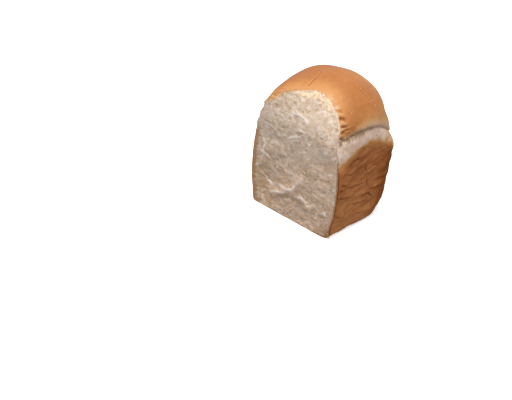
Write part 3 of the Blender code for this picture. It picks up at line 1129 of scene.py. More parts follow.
    def pit_map(self, x: Array, z: Array) -> Array:
        """Depth of the small pits as a share, at places of the torn face."""
        depth = np.zeros(len(x))
        for pit in self.all_pits:
            near = (np.abs(x - pit.run) < pit.radius * 3.0) & (np.abs(z - pit.z) < pit.radius * 3.0)
            distance = np.hypot((x[near] - pit.run) * 0.8, z[near] - pit.z)
            depth[near] = np.maximum(depth[near], hump(distance, pit.radius))
        return depth

    def relief(self, x: Array, z: Array) -> dict[str, Array]:
        """Fine relief of the torn crumb at places on it.

        Args:
            x: Sideways places.
            z: Heights.

        Returns:
            The relief's height towards the front, and the shares of pit and strand for the finish; the pit
            share is mostly painted shade in the low places.
        """
        places = stack(x, 0.0, z)
        warped = places + stack(self.swirl[0].at(places), 0.0, self.swirl[1].at(places))
        threads = sum(lines.at(warped) for lines in self.threads)
        fluff = self.fluff.at(warped)
        patch = mix(*self.patch_calm, self.patches.at(places)) * self.upper_calm.at(z)
        crater, veil = self.craters.at(warped), self.veils.at(warped)
        dip = self.dips.at(warped) * self.upper_dips.at(z)
        raised, strand_share = self.thread_map(x, z)
        pit_share = self.pit_map(x, z)
        height = (threads * self.thread_depth + (fluff - 0.5) * self.fluff_depth) * patch
        height += self.fine.at(warped) + self.strand_rise * raised + self.veil_height * veil
        height -= self.pit_depth * pit_share + self.crater_depth * crater + self.dip_depth * dip
        lump = self.tan_lump.at(x, z)
        # painted shade in the pits, craters, dips and lows of the fluff
        in_pit, in_crater, in_dip = self.recess_shade_tones
        pit = in_pit * pit_share + in_crater * crater * patch + in_dip * dip + self.fluff_low_shade.at(fluff)
        # painted shade in a belt near the top and at the lower left corner, which is partly the browner crumb
        # there; the flecks on the tan lump are the crumb's own colour
        pit += lump * self.tan_flecks.at(places) + self.top_shade_belt.at(z) + self.corner_tan_and_shade.at(x, z)
        drawn, noisy, veiled = self.strand_tones
        strand = drawn * strand_share + noisy * threads * patch + veiled * veil * (1.0 - lump)
        return {"height": height, "pit": pit, "strand": strand}

    def warmth(self, x: Array, z: Array) -> Array:
        """Share of the warmer, darker tone: none at the top, most at the lower left, where it is partly
        painted shade.
        """
        wander = self.warm_swells.at(stack(x, 0.0, z))
        return self.warm_fade.at(z - self.warm_slope * x) + self.corner_warmth_and_shade.at(x, z) + wander

    def film_reach(self, x: Array) -> Array:
        """Share across the face of the patch of skin that hangs on at the crown."""
        left, right = self.film_x
        return left.at(x) * right.at(x)

    def hole_lips(self, x: Array, places: Array, from_edge: Array) -> Array:
        """Share of the browned lips round the holes of that patch."""
        holes = self.holes.at(places)
        return holes * (1.0 - holes) * self.hole_zone.at(from_edge) * self.film_reach(x)

    def rim_share(self, x: Array, z: Array, from_edge: Array) -> Array:
        """Share of crust colour along the edge of the face.

        Args:
            x: Sideways places.
            z: Heights.
            from_edge: Distance from the edge of the face.

        Returns:
            The share: a thin line round the face, broader low on the left, and ragged at the crown.
        """
        places = stack(x, 0.0, z)
        below_band = self.below_band.at(z)
        wide = below_band * self.rim_right.at(x)
        line = self.rim_line.at(from_edge - wide + self.rim_swells.at(places))
        line = line * mix(*self.rim_strength, below_band)
        strip = self.strip.at(from_edge + self.strip_swells.at(places))
        strip = strip * self.strip_x.at(x) * self.strip_z.at(z)
        torn = self.crown_rim.at(from_edge + self.crown_rim_swells.at(places)) * self.crown_rim_x.at(x)
        lips = self.rim_lips * self.hole_lips(x, places, from_edge)
        lips = np.maximum(torn, lips) * self.crown_z.at(z)
        return np.maximum.reduce([line, lips, strip, self.rim_corner.at(x, z)])

    def skin_share(self, x: Array, z: Array, from_edge: Array) -> Array:
        """Share of golden crust that laps over the tear, most at the left shoulder of the dome."""
        places = stack(x, 0.0, z)
        lap = self.lap.at(from_edge + self.lap_swells.at(places)) * self.lap_x.at(x)
        border = self.skin_border.at(from_edge + self.skin_swells.at(places)) * self.skin_x.at(x)
        lips = self.skin_lips * self.hole_lips(x, places, from_edge)
        return np.maximum.reduce([lap, border, lips]) * self.crown_z.at(z)

    def film_share(self, x: Array, z: Array, from_edge: Array) -> Array:
        """Share of pale golden skin, torn into a holed patch at the crown."""
        places = stack(x, 0.0, z)
        reach = from_edge + self.film_swells.at(places) - self.film_middle.at(x)
        patch = self.film.at(reach) * self.film_reach(x) * self.crown_z.at(z)
        fringe = self.fringe.at(from_edge + self.fringe_swells.at(places)) * self.fringe_z.at(z)
        return np.maximum(patch * (1.0 - 0.85 * self.holes.at(places)), fringe)

    def build(self, face: Array, shift: Array, fit: BoxFit, finish: CrumbFinish) -> bpy.types.Object:
        """Makes the torn face's piece.

        Args:
            face: The form's points, by row and column.
            shift: Move from the form's own place to the frame's.
            fit: Keeps the points inside the solid's box.
            finish: Crumb finish.

        Returns:
            The piece.
        """
        rows, columns = face.shape[:2]
        points = face.reshape(-1, 3)
        x, z = points[:, 0], points[:, 2]
        from_edge = self.edge_distance(face)
        details = self.relief(x, z)
        inner = smooth_step(0.0, self.edge_fade, from_edge)
        film = self.film_share(x, z, from_edge)
        shares = {"pit": details["pit"] * inner, "strand": details["strand"], "film": film,
                  "warmth": self.warmth(x, z), "rim": self.rim_share(x, z, from_edge),
                  "skin": self.skin_share(x, z, from_edge)}
        placed = self.form.lopsided(points)
        placed[:, 1] -= (details["height"] + self.film_lift * film) * inner
        quads = grid_quads(np.arange(rows * columns).reshape(rows, columns))
        mesh = make_mesh("torn_crumb", fit.keep_in(placed + shift), quads)
        for value, share in shares.items():
            set_value(mesh, value, share)
        return add_piece("torn_crumb", mesh, finish.material())

    @staticmethod
    def edge_distance(face: Array) -> Array:
        """Distance from each point of the torn face to its outline."""
        flat = face[..., [0, 2]]
        outline = np.concatenate([flat[:, 0], flat[-1], flat[::-1, -1], flat[0, ::-1]])
        points = flat.reshape(-1, 2)
        nearest = np.full(len(points), np.inf)
        for place in outline[::6]:
            nearest = np.minimum(nearest, np.hypot(points[:, 0] - place[0], points[:, 1] - place[1]))
        close = np.flatnonzero(nearest < EDGE_ZONE)
        for place in outline:
            reach = np.hypot(points[close, 0] - place[0], points[close, 1] - place[1])
            nearest[close] = np.minimum(nearest[close], reach)
        return nearest


def thread_mesh(name: str, threads: Sequence[tuple[Array, Array]], fit: BoxFit) -> bpy.types.Mesh:
    """Mesh of thin round threads with pointed ends.

    Args:
        name: Name of the mesh.
        threads: Middle line and thickness of each thread, at as many points in each.
        fit: Keeps the points inside the solid's box.

    Returns:
        The mesh.
    """
    lines = np.array([line for line, _ in threads])
    radii = np.array([radius for _, radius in threads])
    run = np.gradient(lines, axis=1)
    run /= np.maximum(np.linalg.norm(run, axis=2, keepdims=True), 1e-9)
    side = np.cross(run, (0.31, 0.90, 0.31))
    side /= np.maximum(np.linalg.norm(side, axis=2, keepdims=True), 1e-9)
    lift = np.cross(side, run)
    turns = [math.tau * corner / THREAD_SIDES for corner in range(THREAD_SIDES)]
    rings = [lines + radii[..., None] * (math.cos(turn) * side + math.sin(turn) * lift) for turn in turns]
    points = np.stack(rings, axis=2)
    count, length = lines.shape[:2]
    index = np.arange(count * length * THREAD_SIDES).reshape(count, length, THREAD_SIDES)
    wrapped = np.concatenate([index, index[..., :1]], axis=2)
    corners = [wrapped[:, :-1, :-1], wrapped[:, 1:, :-1], wrapped[:, 1:, 1:], wrapped[:, :-1, 1:]]
    quads = np.stack([corner.ravel() for corner in corners], axis=1)
    ends = np.concatenate([index[:, 0, ::-1], index[:, -1]])
    mesh = bpy.data.meshes.new(name)
    mesh.from_pydata(fit.keep_in(points.reshape(-1, 3)).tolist(), [], quads.tolist() + ends.tolist())
    mesh.shade_smooth()
    mesh.update()
    return mesh


@dataclass
class CrumbWisps:
    """Loose threads of crumb in tufts on the torn face and along its edges."""

    crumb: TornCrumb
    tufts: int = 130
    threads: tuple[int, int] = (5, 12)
    edge_threads: int = 170
    edge_start: Place = (0.0002, 0.0022)
    edge_length: Place = (0.0015, 0.0040)
    edge_z: Place = (0.096, 0.128)
    length: Place = (0.0025, 0.0080)
    radius: Place = (0.00006, 0.00017)
    lift: Place = (0.00005, 0.0005)
    tuft_spread: float = 0.0018
    groove_threads: int = 220
    groove_run: Place = (0.004, 0.050)
    groove_above: Place = (0.0010, 0.0060)
    groove_below: Place = (0.0015, 0.0055)
    groove_bow: float = 0.0010
    groove_gap: float = 0.0002
    groove_crowding: float = 1.7
    groove_lean: float = 0.0012
    groove_wave: float = 0.0006
    groove_bridge: Place = (0.65, 0.35)
    groove_thick: float = 1.4
    fibre_threads: int = 420
    fibre_run: Place = (0.002, 0.068)
    fibre_lean: Place = (1.05, 0.35)
    fibre_length: Place = (0.0025, 0.0065)
    fibre_bow: Place = (0.0001, 0.0006)
    fibre_room: float = 0.003
    fibre_over: float = 0.0005
    fibre_gap: float = 0.0001
    fibre_thick: float = 1.3
    bend_spread: float = 0.22
    jitter: float = 0.10
    steps: int = 8
    seed: int = 23

    def walk(self, draw: random.Random, start: Place, angle: float, length: float) -> Array:
        """Curved path on the torn face.

        Args:
            draw: Random numbers.
            start: X and z of its start.
            angle: Direction in which it starts, in radians up from +X.
            length: Its length.

        Returns:
            X and z of its points, one to a row.
        """
        bend = draw.gauss(0.0, self.bend_spread)
        step = length / (self.steps - 1)
        x, z = start
        path = []
        for _ in range(self.steps):
            path.append((x, z))
            x, z = x + math.cos(angle) * step, z + math.sin(angle) * step
            angle += bend + draw.gauss(0.0, self.jitter)
        return np.array(path)

    def taper(self, draw: random.Random) -> Array:
        """Thickness along a thread."""
        share = np.linspace(0.0, 1.0, self.steps)
        round_share = np.sin(math.pi * np.clip(share * 0.9 + 0.1, 0.0, 1.0)) ** 0.7
        return draw.uniform(*self.radius) * (0.12 + round_share)

    def rise(self, draw: random.Random, freed: bool) -> Array:
        """How far a thread stands off, along its length; a freed one lifts at its end."""
        share = np.linspace(0.0, 1.0, self.steps)
        high = draw.uniform(*self.lift)
        return high * (share ** 1.5 if freed else np.sin(math.pi * share)) + draw.uniform(*self.radius) * 0.5

    def paths(self, draw: random.Random) -> list[tuple[Array, Array, Array]]:
        """Path, standing off and thickness of every thread on the torn face."""
        found = []
        for _ in range(self.tufts):
            x, z = self.crumb.random_place(draw)
            angle = draw.gauss(-0.3, 1.1 if z > self.crumb.form.step_z else 0.6)
            for _ in range(draw.randint(*self.threads)):
                start = (x + draw.gauss(0.0, self.tuft_spread), z + draw.gauss(0.0, self.tuft_spread))
                path = self.walk(draw, start, angle + draw.gauss(0.0, 0.35), draw.uniform(*self.length))
                found.append((path, self.rise(draw, draw.random() < 0.4), self.taper(draw)))
        return found

    def edge_paths(self, draw: random.Random, face: Array) -> list[tuple[Array, Array, Array]]:
        """Threads that start at the edges of the face and lie along or across them.

        Args:
            draw: Random numbers.
            face: Points of the torn face, by row and column.

        Returns:
            Path, standing off and thickness of every thread.
        """
        flat = face[..., [0, 2]]
        outline = np.concatenate([flat[:, 0], flat[-1], flat[:, -1]])
        outline = outline[(outline[:, 1] > self.edge_z[0]) & (outline[:, 1] < self.edge_z[1])]
        middle = np.array([0.0, self.crumb.form.height / 2.0])
        found = []
        for _ in range(self.edge_threads):
            place = outline[draw.randrange(len(outline))]
            inward = middle - place
            start = place + inward / np.linalg.norm(inward) * draw.uniform(*self.edge_start)
            angle = math.atan2(-inward[1], -inward[0]) + draw.gauss(0.0, 1.3)
            path = self.walk(draw, tuple(start), angle, draw.uniform(*self.edge_length))
            found.append((path, self.rise(draw, True), self.taper(draw)))
        return found

    def groove_lines(self, draw: random.Random) -> list[tuple[Array, Array]]:
        """Middle line and thickness of the threads stretched from the dome down to the pale band."""
        form = self.crumb.form
        share = np.linspace(0.0, 1.0, self.steps)
        found = []
        for _ in range(self.groove_threads):
            side = draw.choice((-1.0, 1.0))
            start, reach = self.groove_run
            y = form.tear_y + start + draw.random() ** self.groove_crowding * reach
            middle = float(form.along(np.array(y), form.groove_z))
            top = middle + draw.uniform(*self.groove_above)
            z = mix(top, middle - draw.uniform(*self.groove_below), share)
            lean = y + draw.gauss(0.0, self.groove_lean) * share
            lean = lean + self.groove_wave * np.sin(share * draw.uniform(2.0, 5.0))
            bow = draw.uniform(0.0, self.groove_bow) * np.sin(math.pi * share)
            width = form.section_width(lean, z) + self.groove_gap + bow
            ends = form.section_width(lean[[0, -1]], z[[0, -1]])
            straight, bowed = self.groove_bridge
            width = np.maximum(width, mix(ends[0], ends[1], share) * straight + width * bowed)
            found.append((form.lopsided(stack(side * width, lean, z)), self.taper(draw) * self.groove_thick))
        return found

    def band_lines(self, draw: random.Random) -> list[tuple[Array, Array]]:
        """Middle line and thickness of the fibres that lie on the pale band and lean back."""
        form = self.crumb.form
        share = np.linspace(0.0, 1.0, self.steps)
        found = []
        for _ in range(self.fibre_threads):
            side = draw.choice((-1.0, 1.0))
            start, reach = self.fibre_run
            y = form.tear_y + start + draw.random() * reach
            rim, groove = (float(form.along(np.array(y), heights)) for heights in (form.rim_z, form.groove_z))
            low = draw.uniform(rim, groove - self.fibre_room)
            angle, length = draw.gauss(*self.fibre_lean), draw.uniform(*self.fibre_length)
            z = np.minimum(low + math.sin(angle) * length * share, groove + self.fibre_over)
            lean = y + math.cos(angle) * length * share
            bow = draw.uniform(*self.fibre_bow) * np.sin(math.pi * share)
            width = form.section_width(lean, z) + self.fibre_gap + bow
            found.append((form.lopsided(stack(side * width, lean, z)), self.taper(draw) * self.fibre_thick))
        return found

    def build(self, face: Array, shift: Array, fit: BoxFit, finish: CrumbFinish) -> None:
        """Makes the threads on the face, over the groove and on the band, one piece each.

        Args:
            face: Points of the torn face, by row and column.
            shift: Move from the form's own place to the frame's.
            fit: Keeps the points inside the solid's box.
            finish: Crumb finish.
        """
        material = finish.material()
        draw = random.Random(self.seed)
        form = self.crumb.form
        on_face = self.paths(draw) + self.edge_paths(draw, face)
        paths = np.array([path for path, _, _ in on_face])
        x, z = paths[..., 0].ravel(), paths[..., 1].ravel()
        relief = self.crumb.relief(x, z)["height"] * 0.8
        y = form.torn_y(x, z) - relief - np.array([rise for _, rise, _ in on_face]).ravel()
        lines = form.lopsided(stack(x, y, z)).reshape(*paths.shape[:2], 3)
        lying = [(line, radius) for line, (_, _, radius) in zip(lines, on_face)]
        pieces = (("crumb_wisps", lying, 0.35, 0.25, 0.0),
                  # the threads over the groove are darkened with warmth and pit tone as painted shade
                  ("groove_fringe", self.groove_lines(draw), 0.0, 0.6, 0.7),
                  ("band_fibres", self.band_lines(draw), 0.30, 0.35, 0.0))
        for name, threads, *tones in pieces:
            mesh = thread_mesh(name, [(line + shift, radius) for line, radius in threads], fit)
            for tone, share in zip(("strand", "warmth", "pit"), tones):
                set_value(mesh, tone, np.full(len(mesh.vertices), share))
            add_piece(name, mesh, material)


@dataclass
class Crust:
    """Crust of the sides, the heel, the base and the dome, with its folds, its shades of baking and painted
    shade in its creases and groove.
    """

    form: LoafForm
    wrinkle_slope: float = 0.18
    wrinkles: Swells = Swells(0.0008, (0.0260, 0.0260, 0.0090), 0.0, 2)
    crackle: Lines = Lines((0.016, 0.016, 0.0052), 3.0)
    crackle_depth: float = 0.00030
    # painted shade in the crackle lines, the rough hollows and the scars, which are sunk into the crust
    crackle_shade: float = 0.16
    pimples: Swells = Swells(0.00006, 0.0022, 9.0)
    rough: Swells = Swells(1.0, (0.0075, 0.0075, 0.0028), 8.0, 3)
    rough_depth: float = 0.00022
    rough_shade: Fade = Fade(0.35, 0.85, 0.0, 0.10)
    scars: Lines = Lines((0.024, 0.024, 0.0070), 13.0)
    scar_bends: Swells = Swells(0.006, 0.012, 17.0)
    scar_zones: Patches = Patches(0.022, 23.0, (-0.1, 0.3))
    scar_depth: float = 0.00030
    scar_shade: float = 0.45
    dimples: tuple[Swells, Swells] = (Swells(0.0009, 0.024, (5.0, 0.0, 2.0)), Swells(0.00005, 0.0035, 4.0))
    band_swells: tuple[Swells, ...] = (Swells(0.0008, 0.011), Swells(0.00035, (0.0016, 0.0016, 0.0100), 2.0),
                                       Swells(0.000245, (0.0008, 0.0008, 0.0060), 3.0))
    blend: float = 0.009
    tear_fade: float = 0.010
    fine_fade: float = 0.002
    fine_share: float = 0.35
    fold_shade: float = 0.95
    crease_shade: float = 0.28
    painted_crease_shade: float = 0.30
    border_z: Triple = (0.1080, 0.0908, 0.0836)
    large_folds: int = 16
    small_folds: tuple[int, int, int] = (9, 24, 24)
    pucker_count: int = 7
    band_lumps: tuple[Place, ...] = (
        (-0.0549, 0.1147), (-0.0530, 0.1085), (-0.0460, 0.1125),
        (-0.0552, 0.1048), (-0.0455, 0.1040), (-0.0500, 0.0985))
    band_lump: Place = (0.0036, 0.0006)
    fold_z: Place = (0.010, 0.092)
    fold_slope: Place = (0.16, 0.28)
    fold_step: Place = (0.006, 0.013)
    fold_depth: Place = (0.0006, 0.0015)
    fold_width: Place = (0.0009, 0.0013)
    seed: int = 5
    side_folds: tuple[Bend, ...] = (
        Bend(((-0.0390, 0.0881), (-0.0290, 0.0902), (-0.0161, 0.0893)), 0.0012, 0.0012),
        Bend(((-0.0447, 0.0785), (-0.0291, 0.0735), (-0.0242, 0.0777), (-0.0200, 0.0800)), 0.0009, 0.0009),
        Bend(((0.0036, 0.0720), (0.0097, 0.0779), (0.0178, 0.0845)), 0.0017, 0.0013),
        Bend(((-0.0494, 0.0680), (-0.0381, 0.0624)), 0.0010, 0.0010),
        Bend(((-0.0377, 0.0591), (-0.0273, 0.0574), (-0.0165, 0.0564), (-0.0100, 0.0608), (-0.0058, 0.0659)),
             0.0013, 0.0011),
        Bend(((-0.0499, 0.0604), (-0.0423, 0.0583)), 0.0010, 0.0010),
        Bend(((-0.0535, 0.0528), (-0.0408, 0.0479), (-0.0302, 0.0452), (-0.0249, 0.0464), (-0.0178, 0.0477),
              (-0.0040, 0.0508)), 0.0018, 0.0014),
        Bend(((-0.0088, 0.0391), (-0.0020, 0.0389), (0.0056, 0.0375), (0.0131, 0.0309)), 0.0014, 0.0012),
        Bend(((0.0065, 0.0432), (0.0187, 0.0402), (0.0295, 0.0384)), 0.0017, 0.0014),
        Bend(((0.0175, 0.0512), (0.0249, 0.0513), (0.0356, 0.0503)), 0.0016, 0.0013),
        Bend(((-0.0013, 0.0590), (0.0020, 0.0477)), 0.0007, 0.0010),
        Bend(((-0.0363, 0.0204), (-0.0313, 0.0240), (-0.0250, 0.0260), (-0.0186, 0.0296), (-0.0116, 0.0338),
              (-0.0079, 0.0355)), 0.0013, 0.0010),
        Bend(((-0.0213, 0.0333), (-0.0140, 0.0312), (-0.0083, 0.0304)), 0.0008, 0.0009),
        Bend(((-0.0073, 0.0778), (-0.0034, 0.0672)), 0.0008, 0.0011),
        Bend(((-0.0501, 0.0277), (-0.0421, 0.0246)), 0.0009, 0.0010),
        Bend(((-0.0151, 0.0741), (-0.0097, 0.0797)), 0.0009, 0.0009),
        Bend(((-0.0114, 0.0180), (-0.0041, 0.0158)), 0.0006, 0.0009),
    )
    dome_crease: tuple[Triple, ...] = (
        (-0.0083, -0.0362, 0.1541), (-0.0085, -0.0320, 0.1564),
        (-0.0087, -0.0266, 0.1589), (-0.0090, -0.0202, 0.1611))
    puckers: tuple[tuple[Triple, ...], ...] = (
        ((0.0225, -0.0390, 0.1500), (0.0260, -0.0382, 0.1485), (0.0300, -0.0366, 0.1495)),
        ((0.0377, -0.0407, 0.1439), (0.0400, -0.0379, 0.1441), (0.0418, -0.0351, 0.1442)),
        ((0.0459, -0.0441, 0.1386), (0.0476, -0.0400, 0.1376), (0.0492, -0.0362, 0.1374)),
        ((0.0513, -0.0475, 0.1327), (0.0520, -0.0416, 0.1317), (0.0532, -0.0366, 0.1317)),
        ((0.0526, -0.0465, 0.1276), (0.0534, -0.0412, 0.1286), (0.0550, -0.0349, 0.1284)),
    )
    crease_cut: Place = (0.0016, 0.0008)
    pucker_cut: Place = (0.0015, 0.0012)
    small_pucker_cut: Place = (0.0010, 0.0010)
    small_pucker_x: float = 0.050
    pucker_z: Place = (0.1215, 0.1440)
    pucker_slope: Place = (-0.0015, 0.0012)
    pucker_start: float = 0.0008
    pucker_run: Place = (0.003, 0.009)
    flat_z: float = 0.1410
    curl: tuple[Place, ...] = ((-0.0524, 0.1218), (-0.0475, 0.1199), (-0.0430, 0.1168), (-0.0396, 0.1166))
    curl_depth: float = 0.0009
    curl_width: float = 0.0009
    groove_shadows: tuple[Spot, ...] = (
        Spot(-0.0345, 0.1203, 0.0028, 0.66), Spot(-0.0290, 0.1217, 0.0028, 0.66),
        Spot(-0.0235, 0.1224, 0.0028, 0.66), Spot(-0.0400, 0.1172, 0.0028, 0.66))
    shadow_breaks: Patches = Patches(0.0019, 29.0, (-0.35, 0.25), 0.40)
    border_rags: tuple[Swells, ...] = (
        Swells(0.0030, 0.0080, 6.0), Swells(0.0015, (0.0013, 0.0013, 0.0070), 4.0),
        Swells(0.0015, 0.0032, 14.0))
    border_hump: Belt = Belt(0.013, 0.012, 0.0004)
    browning: tuple[Fade, Fade] = (Fade(-0.0050, 0.0060, -0.02, 0.48), Fade(0.001, 0.014, 0.0, 0.25))
    bake_swells: Swells = Swells(1.0, 0.021, 1.0)
    bake_wander: Place = (0.04, 0.03)
    heel_bake: Fade = Fade(0.008, 0.046, 0.0, 0.26)
    pale_foot: tuple[Fade, Fade] = (Fade(0.080, 0.010, 0.0, 0.15), Fade(0.030, -0.040))
    pale_patches: Patches = Patches((0.014, 0.014, 0.0055), 37.0, (0.05, 0.45), 0.10)
    brown_patches: Patches = Patches((0.016, 0.016, 0.0045), 43.0, (0.05, 0.45), 0.06)
    torn_line: tuple[Fade, Fade] = (Fade(0.0024, 0.0010, 0.0, 0.40), Fade(0.0, 0.010))
    torn_band: tuple[Fade, Fade] = (Fade(0.014, 0.004), Fade(0.0, -0.006))
    torn_band_patches: Patches = Patches(0.0045, 27.0, (0.0, 0.30), 0.05)
    dome_bake: float = 0.51
    crown_bake: Fade = Fade(0.146, 0.164, 0.0, 0.15)
    side_bake: tuple[Fade, Fade] = (Fade(0.02, 0.05, 0.0, 0.10), Fade(-0.02, -0.05, 0.0, 0.15))
    pale_skirt: tuple[Fade, Fade] = (Fade(0.146, 0.130, 0.0, 0.18), Fade(-0.03, 0.0))
    # painted highlight: paler bake on the middle of the dome where the light falls brightest
    highlight_spot: Spot = Spot(0.012, 0.154, 0.018, 0.09)
    pale_tear: Fade = Fade(0.016, 0.001, 0.0, 0.12)
    scrap_edge: Fade = Fade(0.0046, 0.0006, 0.0, 0.34)
    scrap_swells: Swells = Swells(0.0014, 0.0030, 53.0)
    scrap_patches: Patches = Patches(0.0042, 51.0, (-0.05, 0.25))
    scrap_x: Fade = Fade(0.015, 0.035)
    skirt_reach: Fade = Fade(-0.040, -0.015, 0.55)
    skirt: Fade = Fade(0.0015, 0.0145, 0.10)
    skirt_rags: tuple[Swells, Swells] = (
        Swells(0.0012, (0.002, 0.002, 0.008), 11.0), Swells(0.0012, 0.0060, 47.0))
    streaks: tuple[Fade, Fade] = (Fade(0.017, 0.005), Fade(-0.003, 0.001))
    band_streak: float = 0.40
    groove_shade: Belt = Belt(-0.0005, 0.0022, 0.07)
    speck_zone: tuple[Fade, Fade] = (Fade(-0.01, 0.03), Fade(0.003, 0.02))

    def scattered_folds(self, draw: random.Random, count: int, reach: float, size: float) -> list[Bend]:
        """Folds scattered over one face of the tin.

        Args:
            draw: Random numbers.
            count: How many folds.
            reach: Half length of the face.
            size: Size against that of the large folds.

        Returns:
            The folds.
        """
        folds = []
        for _ in range(count):
            run = draw.uniform(-reach, reach * 0.6)
            z = draw.uniform(*self.fold_z)
            slope = draw.gauss(*self.fold_slope)
            step = draw.uniform(*self.fold_step) * size
            path = [(run, z)]
            for _ in range(draw.randint(1, 3)):
                run, z = run + step, z + step * slope
                slope += draw.gauss(0.0, 0.25)
                path.append((run, z))
            depth = draw.uniform(*self.fold_depth) * size
            folds.append(Bend(tuple(path), depth, draw.uniform(*self.fold_width) * size ** 0.5))
        return folds

    @staticmethod
    def fold_map(run: Array, z: Array, folds: Sequence[Bend]) -> tuple[Array, Array]:
        """Relief of folds on one face of the tin; the crust bulges most over their upper side.

        Args:
            run: Places along the face.
            z: Heights.
            folds: The folds.

        Returns:
            The relief's height, and how dark the creases are.
        """
        flat = np.stack([run, z], axis=-1)
        relief = np.zeros(len(run))
        dark = np.zeros(len(run))
        for fold in folds:
            distance, reached = path_nearness(flat, np.array(fold.path))
            taper = np.sin(math.pi * np.clip(reached, 0.06, 0.94)) ** 0.5
            cut = hump(distance, fold.width * 0.66) * taper
            line_z = np.interp(run, *zip(*sorted(fold.path)))
            over = hump(distance, fold.width * 5.0) * taper * (z > line_z)
            under = hump(distance, fold.width * 4.0) * taper * (z <= line_z)
            relief += fold.rise * (0.6 * over - 0.35 * under - 0.9 * cut)
            # painted shade along each fold's crease
            dark = np.maximum(dark, cut * min(0.35 + fold.rise / 0.0014, 1.0))
        return relief, dark

    def slanted(self, points: Array) -> Array:
        """Points with their height measured from the slope along which the side's crust was drawn."""
        x, y, z = points.T
        return stack(x, y, z - self.wrinkle_slope * y)

    def tin_relief(self, points: Array) -> tuple[Array, Array]:
        """Relief of the tin-baked crust.

        Args:
            points: Points of the crust's form.

        Returns:
            The relief's height, and the darkness of its creases.
        """
        x, y, z = points.T
        slanted = self.slanted(points)
        crackle, rough = self.crackle.at(slanted), self.rough.at(slanted)
        bent = slanted + stack(0.0, 0.0, self.scar_bends.at(points))
        scar = self.scars.at(bent) * self.scar_zones.at(points)
        relief = self.pimples.at(points) - self.wrinkles.at(slanted)
        relief -= self.crackle_depth * crackle + self.rough_depth * rough + self.scar_depth * scar
        # painted shade where the relief is sunk
        dark = self.crackle_shade * crackle + self.rough_shade.at(rough) + self.scar_shade * scar
        draw = random.Random(self.seed)
        side, heel = self.form.base_width * 0.93, self.form.heel_y * 0.86
        small = [self.scattered_folds(draw, count, 0.050, 0.55) for count in self.small_folds]
        large = [self.scattered_folds(draw, self.large_folds, 0.045, 1.0) for _ in small[1:]]
        faces = ((x > side, y, [*self.side_folds, *small[0]]), (x < -side, y, large[0] + small[1]),
                 (y > heel, x, large[1] + small[2]))
        for chosen, run, folds in faces:
            folded, shaded = self.fold_map(run[chosen], z[chosen], folds)
            relief[chosen] += folded
            dark[chosen] = np.maximum(dark[chosen], shaded)
        return relief, dark

    def crease_relief(self, points: Array) -> tuple[Array, Array]:
        """Relief of the dome's crease and of the puckers beside the tear.

        Args:
            points: Points of the loaf's finished, lopsided form.

        Returns:
            The relief's height, and its painted shade, under 0 where the bulges are painted lighter.
        """
        relief = np.zeros(len(points))
        dark = np.zeros(len(points))
        creases = [(self.dome_crease, self.crease_cut)] + [(path, self.pucker_cut) for path in self.puckers]
        creases += [(path, self.small_pucker_cut) for path in self.small_puckers()]
        for places, (cut, width) in creases:
            path = np.array(places)
            axes = [0, 1] if path[:, 2].mean() > self.flat_z else [1, 2]
            distance, reached = path_nearness(points[:, axes], path[:, axes])
            distance = np.where((axes[0] == 0) | (points[:, 0] > 0.0), distance, 1.0)
            taper = np.sin(math.pi * np.clip(0.28 + 0.72 * reached, 0.0, 1.0))
            line = hump(distance, width) * taper
            bulge = hump(distance, width * 2.6) * taper
            relief += cut * (0.7 * bulge - 1.6 * line)
            # painted shade along the line, painted light on the bulges beside it
            dark += line - 0.35 * bulge
        return relief, np.clip(dark, -0.5, 1.0)

    def small_puckers(self) -> list[Array]:
        """Short puckers along the right side of the tear, between the large ones."""
        draw = random.Random(self.seed + 1)
        form = self.form
        share = np.linspace(0.0, 1.0, 5)
        found = []
        for _ in range(self.pucker_count):
            z = draw.uniform(*self.pucker_z) + draw.gauss(*self.pucker_slope) * share
            start = float(form.torn_y(np.array([self.small_pucker_x]), z[:1])[0]) + self.pucker_start
            y = start + draw.uniform(*self.pucker_run) * share
            found.append(stack(form.section_width(y, z), y, z))
        return found

    def lump_relief(self, points: Array) -> Array:
        """Relief of the loose lumps where the right end of the pale band is torn."""
        radius, height = self.band_lump
        relief = np.zeros(len(points))
        for lump_y, lump_z in self.band_lumps:
            relief = np.maximum(relief, hump(np.hypot(points[:, 1] - lump_y, points[:, 2] - lump_z), radius))
        return relief * height * (points[:, 0] > 0.0)

    def curl_relief(self, points: Array) -> tuple[Array, Array]:
        """Relief of the curled scrap at the band's front end, and the painted shade under it and in the
        groove.
        """
        places = points[:, 1:]
        right = points[:, 0] > 0.0
        distance, reached = path_nearness(places, np.array(self.curl))
        taper = np.sin(math.pi * np.clip(0.25 + 0.6 * reached, 0.0, 1.0)) * right
        line = hump(distance, self.curl_width) * taper
        relief = self.curl_depth * (0.9 * hump(distance, self.curl_width * 3.5) * taper - 1.8 * line)
        # painted shade under the curl
        dark = 0.90 * line
        broken = (0.60 + self.shadow_breaks.at(points)) * right
        for shadow in self.groove_shadows:
            dark = np.maximum(dark, shadow.at(*places.T) * broken)
        return relief, dark

